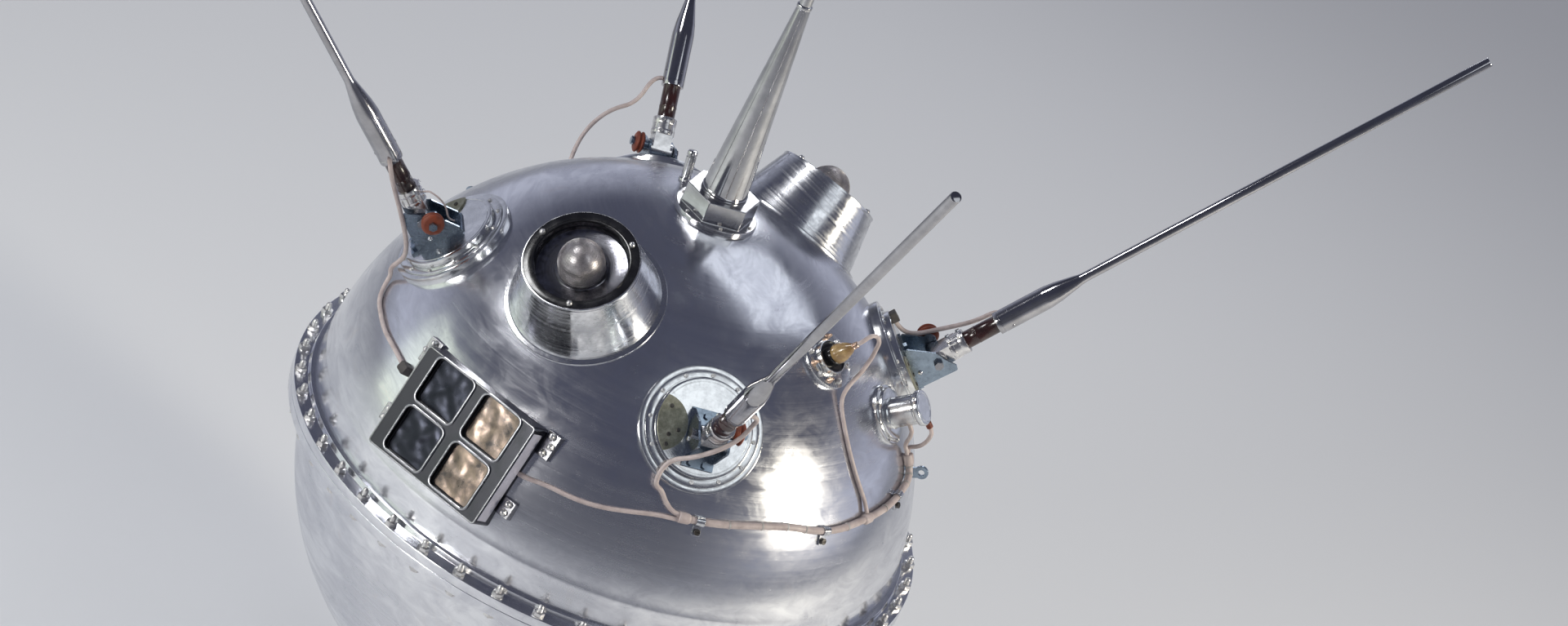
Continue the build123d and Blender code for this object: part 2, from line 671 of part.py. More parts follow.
# ---- harness branches ----
def branch_points(places):
    return [on_shell(az, po, shell_radius + rise) for az, po, rise in places]


def straight_start(frame, origin, direction):
    """First two points of a branch that leaves a face squarely."""
    return [frame.from_local_coords(Vector(*origin) + Vector(*direction) * reach) for reach in (lead_gap, lead_gap + branch_stub)]


def detector_outlet(place, end):
    """Start of a branch at a detector's end face, over the shell."""
    top = sqrt(shell_radius**2 - (detector_length / 2) ** 2 - branch_outlet**2) + branch_radius + lead_seat
    return straight_start(outward(*place, 0), (branch_outlet, end * detector_length / 2, top), (0, end, 0))


port_frame = outward(*stepped_place, 0)
boot = Plane(origin=(0, 0, cap_middle), x_dir=(0, 1, 0), z_dir=(1, 0, 0)).location * upright(cap_boot_radius, cap_boot_length, stepped_cap_radius - cap_boot_overlap)
boot = Rot(0, 0, cap_boot_turn) * boot - upright(stepped_cap_radius, 4 * stepped_cap_height, cap_seat - 2 * stepped_cap_height)
boot_way = Vector(cos(radians(cap_boot_turn)), sin(radians(cap_boot_turn)), 0)
boot_end = boot_way * (stepped_cap_radius - cap_boot_overlap + cap_boot_length) + Vector(0, 0, cap_middle)
front_mouth = sleeve_mouth(trunk_points[0], trunk_start, sleeve_spread)
cap_mouth, body_mouth = (sleeve_mouth(trunk_points[-1], trunk_end, aside) for aside in (-sleeve_spread, sleeve_spread))
joint = joint_sleeves[0]
side_mouth = joint.from_local_coords(Vector(0, sleeve_radius + lead_gap, 0))
rear = branch_points(rear_branch)
branches = {
    "detector": detector_outlet(detectors[0], 1) + branch_points(detector_branch) + [front_mouth + trunk_start * sleeve_length / 2, front_mouth],
    "amber": straight_start(outward(*amber_place, 0), (0, 0, amber_end), (0, 0, 1)) + branch_points(amber_branch) + [side_mouth],
    "cap": straight_start(port_frame, boot_end, boot_way) + branch_points(cap_branch) + [cap_mouth + trunk_end * sleeve_length / 2, cap_mouth],
    "body": straight_start(port_frame, (stepped_body_radius, 0, shell_radius + body_outlet_rise), (1, 0, 0)) + branch_points(body_branch) + [body_mouth + trunk_end * sleeve_length / 2, body_mouth],
    "rear": detector_outlet(detectors[1], -1) + rear,
}
save("harness_branches", [smooth_tube(points, branch_radius) for points in branches.values()])
save("cap_boot", at(*stepped_place, 0, boot))
glands.append(gland(rear[-1], rear[-2], Sphere(shell_radius)))
save("lead_glands", glands)

# ---- lifting eyes ----
eye_reach = shell_radius + eye_rise
stem_length = eye_rise + eye_root
eye_lug = Rot(90, 0, 0) * Cylinder(eye_outer_radius, eye_thickness)
eye_stem = Pos(0, 0, -stem_length / 2) * Box(eye_stem_width, eye_thickness, stem_length)
eye = eye_lug + eye_stem - Rot(90, 0, 0) * Cylinder(eye_hole_radius, eye_thickness)
save("lifting_eyes", [seated(at(az, po, eye_reach, eye)) for az, po in eyes])
print("saved", len(os.listdir("parts")), "nodes")
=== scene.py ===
import json
import math
import random

import bmesh
import bpy
from mathutils import Matrix, Vector, noise


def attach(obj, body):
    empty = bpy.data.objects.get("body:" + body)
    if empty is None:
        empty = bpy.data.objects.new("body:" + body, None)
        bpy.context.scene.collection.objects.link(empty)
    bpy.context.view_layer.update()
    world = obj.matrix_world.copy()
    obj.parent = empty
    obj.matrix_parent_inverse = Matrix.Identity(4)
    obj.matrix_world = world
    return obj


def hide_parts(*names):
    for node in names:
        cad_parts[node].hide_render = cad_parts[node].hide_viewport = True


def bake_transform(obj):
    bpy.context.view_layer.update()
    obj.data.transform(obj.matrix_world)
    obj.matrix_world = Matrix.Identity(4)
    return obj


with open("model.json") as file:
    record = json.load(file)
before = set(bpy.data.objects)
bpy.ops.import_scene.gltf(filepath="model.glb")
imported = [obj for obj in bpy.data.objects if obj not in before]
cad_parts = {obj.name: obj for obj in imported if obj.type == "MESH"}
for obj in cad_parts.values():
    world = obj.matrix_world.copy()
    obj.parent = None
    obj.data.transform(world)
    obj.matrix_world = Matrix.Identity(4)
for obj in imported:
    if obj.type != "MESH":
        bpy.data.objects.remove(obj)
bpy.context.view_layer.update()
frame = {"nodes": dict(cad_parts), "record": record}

# spherical lunar probe: metres, origin at the centre of the sphere, +Z up the mast
nodes = frame["nodes"]
dice = random.Random(12)
# the shell's radius in millimetres, the polar angles of bosses and traps in degrees
shellRadius = 400.0
bossPolar = 48.6
trapPolar = 34.75

# camera, floor and studio
studio = dict(
    place=(-1.39684, -4.56281, 2.75176),
    right=(0.924542, -0.114389, 0.363507),
    up=(-0.254554, 0.524485, 0.812476),
    back=(-0.283592, -0.843701, 0.45579),
    lens=97.6, sensor=36.0, reach=60.0,
    floorDrop=-0.52, floorSize=14.0, floorColour=(0.70, 0.71, 0.73), floorRoughness=0.9, floorGlow=0.2,
    horizon=(0.46, 0.48, 0.58), horizonBehindCamera=(0.13, 0.135, 0.16),
    cameraSide=(-0.293, -0.956, 0.0), sideBlend=(-0.1, 0.8),
    zenith=(0.07, 0.075, 0.11), zenithBlend=(0.12, 0.5), airStrength=1.0,
)
# name, azimuth and elevation in the part's frame, distance, width, height, watts, colour
lamps = [
    ("keyBox", -29, 21, 3.6, 0.6, 0.9, 72, (1.0, 0.93, 0.77)),
    ("detectorFill", -149, 18, 3.6, 0.7, 0.7, 40, (1.0, 0.98, 0.94)),
    ("topBox", 172, 51, 3.6, 0.7, 0.7, 34, (1.0, 1.0, 1.0)),
    ("backBox", 72, 27, 3.8, 0.7, 0.5, 10, (0.95, 0.97, 1.0)),
    ("bandBox", 42, 53, 3.4, 1.7, 1.7, 7.5, (0.88, 0.92, 1.0)),
    ("bossBox", -63, 51, 3.6, 1.5, 1.5, 7.5, (0.93, 0.98, 1.0)),
    ("leftBox", -178, 8, 3.6, 3.0, 1.8, 13, (0.91, 1.0, 0.77)),
]


def addObject(name, data):
    thing = bpy.data.objects.new(name, data)
    bpy.context.scene.collection.objects.link(thing)
    return thing


def plug(tree, node, links):
    for socket, value in links.items():
        if isinstance(value, bpy.types.NodeSocket):
            tree.links.new(value, node.inputs[socket])
        else:
            node.inputs[socket].default_value = value


def addNode(tree, kind, links=None, **settings):
    node = tree.nodes.new("ShaderNode" + kind)
    for key, value in settings.items():
        setattr(node, key, value)
    plug(tree, node, links or {})
    return node


def addRange(tree, value, low, high, outLow=0.0, outHigh=1.0):
    ends = {"Value": value, "From Min": low, "From Max": high, "To Min": outLow, "To Max": outHigh}
    return addNode(tree, "MapRange", ends).outputs["Result"]


def addMath(tree, operation, first, second=0.0):
    return addNode(tree, "Math", {0: first, 1: second}, operation=operation).outputs[0]


def addMix(tree, factor, *colours):
    node = addNode(tree, "Mix", data_type="RGBA")
    first, second = (colour if isinstance(colour, bpy.types.NodeSocket) else (*colour, 1.0) for colour in colours)
    plug(tree, node, {0: factor, 6: first, 7: second})
    return node.outputs[2]


def buildCamera():
    view = bpy.data.cameras.new("camera")
    view.lens = studio["lens"]
    view.sensor_width = studio["sensor"]
    view.clip_end = studio["reach"]
    camera = addObject("camera", view)
    axes = Matrix((studio["right"], studio["up"], studio["back"])).transposed().to_4x4()
    camera.matrix_world = Matrix.Translation(studio["place"]) @ axes
    bpy.context.scene.camera = camera
    bpy.context.scene.view_settings.view_transform = "Standard"


def buildAir():
    # pale far horizon, darker on the camera's side and overhead
    world = bpy.data.worlds.new("studioAir")
    world.use_nodes = True
    tree = world.node_tree
    tree.nodes.clear()
    direction = addNode(tree, "TexCoord").outputs["Generated"]
    height = addNode(tree, "SeparateXYZ", {"Vector": direction}).outputs["Z"]
    toCamera = {0: direction, 1: studio["cameraSide"]}
    side = addNode(tree, "VectorMath", toCamera, operation="DOT_PRODUCT").outputs["Value"]
    wall = addMix(tree, addRange(tree, side, *studio["sideBlend"]), studio["horizon"], studio["horizonBehindCamera"])
    sky = addMix(tree, addRange(tree, height, *studio["zenithBlend"]), wall, studio["zenith"])
    air = addNode(tree, "Background", {"Color": sky, "Strength": studio["airStrength"]})
    addNode(tree, "OutputWorld", {"Surface": air.outputs[0]})
    bpy.context.scene.world = world


def buildFloor():
    mesh = bpy.data.meshes.new("studioFloor")
    form = bmesh.new()
    bmesh.ops.create_grid(form, x_segments=2, y_segments=2, size=studio["floorSize"])
    bmesh.ops.translate(form, verts=form.verts, vec=(0, 0, studio["floorDrop"]))
    form.to_mesh(mesh)
    form.free()
    floor = addObject("studioFloor", mesh)
    paper = bpy.data.materials.new("floorPaper")
    paper.use_nodes = True
    tree = paper.node_tree
    colour = (*studio["floorColour"], 1.0)
    seen = addNode(tree, "LightPath").outputs
    plain = addMath(tree, "MAXIMUM", seen["Is Camera Ray"], seen["Is Glossy Ray"])
    plain = addMath(tree, "MAXIMUM", plain, seen["Is Transmission Ray"])
    look = {"Base Color": colour, "Roughness": studio["floorRoughness"], "Emission Color": colour}
    look["Emission Strength"] = addMath(tree, "MULTIPLY", plain, studio["floorGlow"])
    plug(tree, tree.nodes["Principled BSDF"], look)
    mesh.materials.append(paper)


def buildLamps():
    for name, azimuth, elevation, distance, width, height, watts, colour in lamps:
        a, e = math.radians(azimuth), math.radians(elevation)
        way = Vector((math.cos(e) * math.cos(a), math.cos(e) * math.sin(a), math.sin(e)))
        lamp = bpy.data.lights.new(name, "AREA")
        lamp.shape = "RECTANGLE"
        lamp.size, lamp.size_y = width, height
        lamp.energy = watts
        lamp.color = colour
        holder = addObject(name, lamp)
        holder.location = way * distance
        holder.rotation_euler = way.to_track_quat("Z", "Y").to_euler()
        holder.visible_camera = False


buildCamera()
buildAir()
buildFloor()
buildLamps()
print("studio ready")


# finishes
def newFinish(name):
    finish = bpy.data.materials.new(name)
    finish.use_nodes = True
    tree = finish.node_tree
    return finish, tree, tree.nodes["Principled BSDF"], addNode(tree, "TexCoord").outputs["Object"]


def addNoise(tree, vector, scale, detail=4.0, roughness=0.5, distortion=0.0):
    values = {"Vector": vector, "Scale": scale, "Detail": detail, "Roughness": roughness, "Distortion": distortion}
    return addNode(tree, "TexNoise", values).outputs["Fac"]


def addLineNoise(tree, value, scale):
    values = {"W": value, "Scale": scale, "Detail": 3.0, "Roughness": 0.6}
    return addNode(tree, "TexNoise", values, noise_dimensions="1D").outputs["Fac"]


def addMapping(tree, vector, turned=(0.0, 0.0, 0.0), scale=(1.0, 1.0, 1.0)):
    return addNode(tree, "Mapping", {"Vector": vector, "Rotation": turned, "Scale": scale}).outputs["Vector"]


def addBump(tree, height, strength, distance, normal=None):
    links = {"Height": height, "Strength": strength, "Distance": distance}
    if normal is not None:
        links["Normal"] = normal
    return addNode(tree, "Bump", links).outputs["Normal"]


def axisDistance(tree, place, azimuth, polar):
    # distance from the nearest of four like axes, a quarter turn apart, above or below
    turned = addMapping(tree, place, (0, 0, math.radians(-azimuth)))
    parts = addNode(tree, "SeparateXYZ", {"Vector": turned}).outputs
    across, along, up = (addMath(tree, "ABSOLUTE", parts[k]) for k in range(3))
    far, near = addMath(tree, "MAXIMUM", across, along), addMath(tree, "MINIMUM", across, along)
    lean = math.radians(polar)
    outward, upward = addMath(tree, "MULTIPLY", far, math.cos(lean)), addMath(tree, "MULTIPLY", up, math.sin(lean))
    side = addMath(tree, "SUBTRACT", outward, upward)
    squares = addMath(tree, "MULTIPLY", side, side), addMath(tree, "MULTIPLY", near, near)
    return addMath(tree, "SQRT", addMath(tree, "ADD", *squares))


metalLook = dict(grimeScale=4.3, mottle=(0.16, 0.36), lines=(0.3, 0.7), ringScale=900.0)


def makeMetal(name, colour, dull, rough, patch=9.0, brush=None, brushDepth=0.00003, dents=0.0, dentScale=20.0,
              turned=None):
    # rough holds the clean and the dull roughness; brush stretches fine lines along an axis,
    # turned runs them round a set of like axes
    finish, tree, shader, place = newFinish(name)
    cloud = addNoise(tree, place, patch, 6.0, 0.6, 0.4)
    grime = addNoise(tree, place, patch * metalLook["grimeScale"], 5.0, 0.65)
    mottle = addMath(tree, "MULTIPLY", cloud, grime)
    colour = addMix(tree, addRange(tree, mottle, *metalLook["mottle"]), dull, colour)
    blur = addRange(tree, mottle, *metalLook["mottle"], rough[1], rough[0])
    normal = None
    if dents:
        normal = addBump(tree, addNoise(tree, place, dentScale, 2.0, 0.45), 1.0, dents)
    if turned:
        rings = addLineNoise(tree, axisDistance(tree, place, *turned), metalLook["ringScale"])
        blur = addMath(tree, "ADD", blur, addRange(tree, rings, *metalLook["lines"], -0.04, 0.07))
        normal = addBump(tree, rings, 0.5, brushDepth, normal)
    if brush:
        lines = addNoise(tree, addMapping(tree, place, scale=brush), 1.0, 3.0, 0.7)
        blur = addMath(tree, "ADD", blur, addRange(tree, lines, *metalLook["lines"], -0.03, 0.07))
        normal = addBump(tree, lines, 0.4, brushDepth, normal)
    plug(tree, shader, {"Base Color": colour, "Metallic": 1.0, "Roughness": blur})
    if normal is not None:
        plug(tree, shader, {"Normal": normal})
    return finish


def makePlain(name, colour, dull, rough, patch=30.0, grain=400.0, depth=0.0001, coat=0.0):
    finish, tree, shader, place = newFinish(name)
    cloud = addNoise(tree, place, patch, 5.0, 0.6)
    colour = addMix(tree, addRange(tree, cloud, 0.35, 0.65), dull, colour)
    blur = addRange(tree, cloud, 0.35, 0.65, rough[1], rough[0])
    normal = addBump(tree, addNoise(tree, place, grain, 3.0), 0.5, depth)
    plug(tree, shader, {"Base Color": colour, "Roughness": blur, "Coat Weight": coat, "Normal": normal})
    return finish


shellLook = dict(
    bright=(0.84, 0.85, 0.88), hazed=(0.64, 0.65, 0.70), stained=(0.70, 0.64, 0.62),
    clear=0.14, hazy=0.26, haze=(0.17, 0.35), cloudScale=5.5,
    smearScale=26.0, smearTurn=(0.5, 0.3, 0.0), smearStretch=(1.0, 0.45, 1.7),
    stainScale=2.3, stain=(0.62, 0.78, 0.0, 0.35),
    spinScale=75.0, fineSpinScale=700.0, spinBlur=(0.35, 0.65, -0.01, 0.02), spinDepth=0.00002,
    wave=0.0005, waveScale=6.0, pucker=0.00012, puckerScale=38.0,
)


def makeShellFinish(look):
    # spun alloy polished by hand: spin lines round the mast axis, cloudy haze, smears and soft waves
    finish, tree, shader, place = newFinish("polishedShell")
    height = addNode(tree, "SeparateXYZ", {"Vector": place}).outputs["Z"]
    cloud = addNoise(tree, place, look["cloudScale"], 5.0, 0.55, 0.8)
    smearPlace = addMapping(tree, place, look["smearTurn"], look["smearStretch"])
    smear = addNoise(tree, smearPlace, look["smearScale"], 5.0, 0.68, 0.9)
    band = addLineNoise(tree, height, look["spinScale"])
    fine = addLineNoise(tree, height, look["fineSpinScale"])
    haze = addRange(tree, addMath(tree, "MULTIPLY", cloud, smear), *look["haze"])
    colour = addMix(tree, haze, look["hazed"], look["bright"])
    blots = addNoise(tree, place, look["cloudScale"] * look["stainScale"], 4.0, 0.6, 1.5)
    stain = addRange(tree, blots, *look["stain"])
    colour = addMix(tree, stain, colour, look["stained"])
    blur = addRange(tree, haze, 0.0, 1.0, look["hazy"], look["clear"])
    blur = addMath(tree, "ADD", blur, addRange(tree, band, *look["spinBlur"]))
    blur = addMath(tree, "ADD", blur, addRange(tree, fine, *look["spinBlur"]))
    normal = addBump(tree, addNoise(tree, place, look["waveScale"], 2.0, 0.4), 1.0, look["wave"])
    normal = addBump(tree, addNoise(tree, place, look["puckerScale"], 2.0, 0.5), 1.0, look["pucker"], normal)
    normal = addBump(tree, fine, 0.5, look["spinDepth"], normal)
    plug(tree, shader, {"Base Color": colour, "Metallic": 1.0, "Roughness": blur, "Normal": normal})
    return finish


# by material slot, then the finishes that only pieces of this script use
finishes = {
    "polished_alloy": makeShellFinish(shellLook),
    "flange_steel": makeMetal(
        "boltSteel", (0.82, 0.81, 0.80), (0.56, 0.55, 0.55), (0.24, 0.40), 60.0, (60, 60, 500), 0.00001),
    "instrument_mass": makeMetal("instrumentBlock", (0.50, 0.50, 0.52), (0.30, 0.30, 0.32), (0.3, 0.5), 20.0),
    "mast_alloy": makeMetal(
        "mastAlloy", (0.62, 0.62, 0.63), (0.46, 0.46, 0.47), (0.08, 0.16), 10.0, (520, 520, 14), 0.00001),
    "boss_alloy": makeMetal(
        "bossAlloy", (0.84, 0.85, 0.85), (0.66, 0.67, 0.68), (0.10, 0.24), 22.0,
        brushDepth=0.00002, turned=(0.0, bossPolar)),
    # khaki plate finish: a painted reflection of the bracket cheek in the polished boss drum
    "khaki_plate": makeMetal(
        "khakiPaintedReflection", (0.42, 0.41, 0.33), (0.26, 0.26, 0.20), (0.34, 0.52), 60.0, (300, 300, 60)),
    "bracket_alloy": makeMetal(
        "bracketAlloy", (0.31, 0.38, 0.46), (0.22, 0.27, 0.33), (0.16, 0.30), 22.0, (40, 300, 300), 0.00001),
    "spool_rubber": makePlain(
        "spoolRubber", (0.27, 0.056, 0.022), (0.15, 0.031, 0.015), (0.35, 0.6), 90.0, 900.0, 0.0003),
    "trap_alloy": makeMetal(
        "trapAlloy", (0.80, 0.81, 0.83), (0.52, 0.53, 0.56), (0.12, 0.26), 20.0,
        dents=0.00012, dentScale=14.0, turned=(45.0, trapPolar)),
    "trap_black": makePlain(
        "trapBlack", (0.008, 0.008, 0.010), (0.016, 0.016, 0.019), (0.12, 0.22), 60.0, 700.0, 0.00002),
    "trap_mirror": makeMetal(
        "trapMirror", (0.30, 0.30, 0.33), (0.06, 0.06, 0.07), (0.08, 0.22), 30.0,
        brushDepth=0.00002, dents=0.0004, dentScale=24.0, turned=(45.0, trapPolar)),
    "trap_mesh": makeMetal("trapMesh", (0.68, 0.65, 0.66), (0.42, 0.40, 0.41), (0.3, 0.45), 120.0),
    "detector_grey": makeMetal("detectorFrame", (0.080, 0.080, 0.096), (0.048, 0.048, 0.058), (0.12, 0.22), 11.0),
    "plate_dark": makeMetal(
        "detectorPlateDark", (0.034, 0.036, 0.048), (0.018, 0.020, 0.027), (0.18, 0.30), 14.0, dents=0.0003),
    "plate_copper": makeMetal(
        "detectorPlateCopper", (0.27, 0.21, 0.175), (0.045, 0.042, 0.042), (0.18, 0.30), 13.0, dents=0.0005),
    "amber_resin": makePlain(
        "amberResin", (0.52, 0.36, 0.16), (0.22, 0.12, 0.04), (0.16, 0.32), 95.0, 300.0, coat=0.6),
    "terminal_metal": makeMetal("terminalMetal", (0.74, 0.54, 0.42), (0.46, 0.32, 0.24), (0.22, 0.38), 90.0),
    "harness_sleeve": makePlain(
        "harnessSleeve", (0.63, 0.54, 0.52), (0.46, 0.38, 0.37), (0.35, 0.55), 60.0, 900.0, 0.0003),
    "clip_alloy": makeMetal("clipAlloy", (0.72, 0.73, 0.76), (0.45, 0.46, 0.48), (0.16, 0.32), 80.0),
    "gland_rubber": makePlain("glandRubber", (0.05, 0.045, 0.045), (0.09, 0.08, 0.08), (0.5, 0.7), 90.0),
    "knuckle_alloy": makeMetal("knuckleAlloy", (0.78, 0.77, 0.77), (0.64, 0.63, 0.63), (0.18, 0.28), 20.0),
    "insulator_laminate": makePlain(
        "insulatorLaminate", (0.038, 0.011, 0.010), (0.022, 0.008, 0.0075), (0.16, 0.30), 60.0, 500.0, coat=0.5),
    "rod_alloy": makeMetal("rodAlloy", (0.48, 0.475, 0.495), (0.37, 0.365, 0.38), (0.07, 0.13), 12.0),
    "darkScrew": makeMetal("darkScrews", (0.16, 0.15, 0.14), (0.06, 0.055, 0.05), (0.3, 0.5), 90.0),
    "paleEdge": makeMetal("paleEdge", (0.42, 0.42, 0.45), (0.26, 0.26, 0.28), (0.16, 0.28), 20.0),
    "sidePlate": makePlain(
        "sidePlate", (0.46, 0.46, 0.56), (0.36, 0.36, 0.44), (0.25, 0.40), 30.0, 300.0, 0.00005, 0.3),
    "whiteSleeve": makePlain(
        "whiteSleeve", (0.62, 0.60, 0.58), (0.40, 0.38, 0.37), (0.45, 0.65), 120.0, 900.0, 0.0002),
}
slotOf = {part["node"]: part["material_slot"] for part in frame["record"]["subparts"]}
for nodeName, slotName in slotOf.items():
    for place in nodes[nodeName].material_slots:
        place.material = finishes[slotName]
print("finishes on the solids")


# making and placing shapes, sizes in millimetres
def shellAxes(azimuth, polar):
    # x away from the mast, y along the tangent, z outward
    a, p = math.radians(azimuth), math.radians(polar)
    outward = Vector((math.sin(p) * math.cos(a), math.sin(p) * math.sin(a), math.cos(p)))
    south = Vector((math.cos(p) * math.cos(a), math.cos(p) * math.sin(a), -math.sin(p)))
    return Matrix((south, outward.cross(south), outward)).transposed().to_4x4()


def onShell(azimuth, polar, rise):
    return shellAxes(azimuth, polar) @ Vector((0, 0, (shellRadius + rise) / 1000))


def offBoss(axes, places):
    # away from the mast, along the tangent and up from the shell, in the frame of a boss
    return [axes @ Vector((s / 1000, t / 1000, (shellRadius + rise) / 1000)) for s, t, rise in places]


def shift(x, y, z):
    return Matrix.Translation((x / 1000, y / 1000, z / 1000))


def turn(degrees, axis):
    return Matrix.Rotation(math.radians(degrees), 4, axis)


def around(axesList, places):
    # angle, radius and height round each of the axes
    return [axes @ turn(angle, "Z") @ shift(radius, 0, height) for axes in axesList for angle, radius, height in places]


def lying(places):
    return [place @ turn(90, "Y") for place in places]


def arc(radius, first, last, steps, height=0.0):
    # points round a circle on the axis, by polar angle
    angles = [math.radians(first + (last - first) * k / steps) for k in range(steps + 1)]
    return [(radius * math.sin(a), height + radius * math.cos(a)) for a in angles]


def bevelForm(form, geom, width, segments, affect="EDGES"):
    bmesh.ops.bevel(form, geom=geom, offset=width / 1000, segments=segments, profile=0.5, material=-1, affect=affect,
                    clamp_overlap=True)


def spinShape(profile, steps=48, closed=False, rounding=2):
    # corners are radius, height and an optional rounding
    form = bmesh.new()
    corners = [form.verts.new((corner[0] / 1000, 0, corner[1] / 1000)) for corner in profile]
    for pair in zip(corners, corners[1:] + corners[:1] if closed else corners[1:]):
        form.edges.new(pair)
    for ease in sorted({corner[2] for corner in profile if len(corner) > 2}):
        picked = [vert for vert, corner in zip(corners, profile) if len(corner) > 2 and corner[2] == ease]
        bevelForm(form, picked, ease, rounding, "VERTICES")
    geom = form.verts[:] + form.edges[:]
    bmesh.ops.spin(form, geom=geom, cent=(0, 0, 0), axis=(0, 0, 1), angle=math.tau, steps=steps, use_merge=True)
    bmesh.ops.remove_doubles(form, verts=form.verts, dist=1e-6)
    bmesh.ops.recalc_face_normals(form, faces=form.faces)
    return form


def addCopies(target, source, places):
    stamp = bpy.data.meshes.new("stamp")
    source.to_mesh(stamp)
    source.free()
    for place in places:
        moved = stamp.copy()
        moved.transform(place)
        target.from_mesh(moved)
        bpy.data.meshes.remove(moved)
    bpy.data.meshes.remove(stamp)
    return target


def copiesOf(source, places):
    return addCopies(bmesh.new(), source, places)


def makePiece(name, form, slot, *replaced, body="probe", sharp=40.0, finish=None):
    # replaced names the CAD nodes that the piece stands for
    for edge in form.edges:
        edge.smooth = edge.calc_face_angle(0.0) < math.radians(sharp)
    for face in form.faces:
        face.smooth = True
    mesh = bpy.data.meshes.new(name)
    form.to_mesh(mesh)
    form.free()
    mesh.materials.append(finishes[finish or slot])
    piece = addObject(name, mesh)
    if body:
        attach(piece, body)
    if replaced:
        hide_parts(*replaced)
    return piece


def turnedPiece(name, profile, steps, places, slot, *replaced, closed=False, **settings):
    return makePiece(name, copiesOf(spinShape(profile, steps, closed), places), slot, *replaced, **settings)


easing = dict(leastAngle=35.0, flatAngle=1.0, gap=2e-6, sharp=50.0)


def easedNode(name, node, width, body="probe", segments=2, finish=None):
    # the CAD node's own shape, merged, with its edges broken
    form = bmesh.new()
    form.from_mesh(nodes[node].data)
    bmesh.ops.remove_doubles(form, verts=form.verts, dist=easing["gap"])
    flat = math.radians(easing["flatAngle"])
    bmesh.ops.dissolve_limit(form, angle_limit=flat, verts=form.verts, edges=form.edges)
    least = math.radians(easing["leastAngle"])
    bevelForm(form, [edge for edge in form.edges if edge.is_manifold and edge.calc_face_angle(0.0) > least],
              width, segments)
    piece = makePiece(name, form, slotOf[node], node, body=body, sharp=easing["sharp"], finish=finish)
    piece.modifiers.new("evenNormals", "WEIGHTED_NORMAL").keep_sharp = True
    return piece


def cableForm(points, radius, sides=3):
    # round cable whose line runs smoothly near the route's points
    curve = bpy.data.curves.new("cable", "CURVE")
    curve.dimensions = "3D"
    curve.bevel_depth = radius / 1000
    curve.bevel_resolution = sides
    curve.use_fill_caps = True
    spline = curve.splines.new("NURBS")
    spline.points.add(len(points) - 1)
    for mark, point in zip(spline.points, points):
        mark.co = (*point, 1.0)
    spline.order_u = 3
    spline.use_endpoint_u = True
    spline.resolution_u = 8
    holder = bpy.data.objects.new("cable", curve)
    mesh = bpy.data.meshes.new_from_object(holder)
    form = bmesh.new()
    form.from_mesh(mesh)
    bpy.data.objects.remove(holder)
    bpy.data.curves.remove(curve)
    bpy.data.meshes.remove(mesh)
    bmesh.ops.remove_doubles(form, verts=form.verts, dist=1e-6)
    bmesh.ops.recalc_face_normals(form, faces=form.faces)
    return form


def runAxes(first, last):
    # x along a run over the shell, z away from the shell
    middle = (first + last) / 2
    along = (last - first).normalized()
    up = (middle - along * middle.dot(along)).normalized()
    return Matrix.Translation(middle) @ Matrix((along, up.cross(along), up)).transposed().to_4x4()


def alongWay(origin, way):
    return Matrix.Translation(origin) @ way.to_track_quat("Z", "Y").to_matrix().to_4x4()


# half-shells: spun, with a step over the flange and a weld seam near it
shell = dict(
    outer=shellRadius, inner=397.0,
    rim=[(406.0, 21.0, 1.2), (406.0, 12.5, 1.5), (425.0, 12.5, 1.0), (425.0, 0.0, 0.7), (397.0, 0.0)],
    seamPolar=81.9, seamWidth=0.34, seamRise=0.4,
)


def halfShell(sizes):
    stepPolar = math.degrees(math.acos(sizes["rim"][0][1] / sizes["outer"]))
    seamPolar, width = sizes["seamPolar"], sizes["seamWidth"]
    seam = arc(sizes["outer"] + sizes["seamRise"], seamPolar, seamPolar, 1)[:1]
    profile = arc(sizes["outer"], 0.0, seamPolar - width, 64) + seam
    profile += arc(sizes["outer"], seamPolar + width, stepPolar, 4) + sizes["rim"]
    return spinShape(profile + arc(sizes["inner"], 90.0, 0.0, 32)[1:], 192, rounding=3)


makePiece("spunUpperShell", halfShell(shell), "polished_alloy", "upper_shell", sharp=50.0)
lowerForm = halfShell(shell)
bmesh.ops.scale(lowerForm, vec=(1, 1, -1), verts=lowerForm.verts)
bmesh.ops.recalc_face_normals(lowerForm, faces=lowerForm.faces)
makePiece("spunLowerShell", lowerForm, "polished_alloy", "lower_shell", sharp=50.0)
print("half-shells ready")


# fasteners
def hexNut(flats, height, chamfer=0.9, drop=0.5):
    form = bmesh.new()
    radius = flats / 2 / math.cos(math.radians(30)) / 1000
    depth = (height - drop) / 1000
    bmesh.ops.create_cone(form, cap_ends=True, segments=6, radius1=radius, radius2=radius, depth=depth)
    bmesh.ops.translate(form, verts=form.verts, vec=(0, 0, (height - drop) / 2000))
    top = max(form.faces, key=lambda face: face.calc_center_median().z)
    bmesh.ops.inset_region(form, faces=[top], thickness=chamfer / 1000, depth=drop / 1000)
    return form


def domeNut(radius, height):
    # hexagonal foot under a round cap
    foot, cap = height * 0.42, radius * 0.84
    form = copiesOf(hexNut(radius * 1.78, foot, 0.3), [Matrix()])
    profile = [(0, 0), (cap, 0), (cap, foot + 0.6)] + arc(cap, 90.0, 0.0, 6, height - cap)
    return addCopies(form, spinShape(profile, 16), [Matrix()])


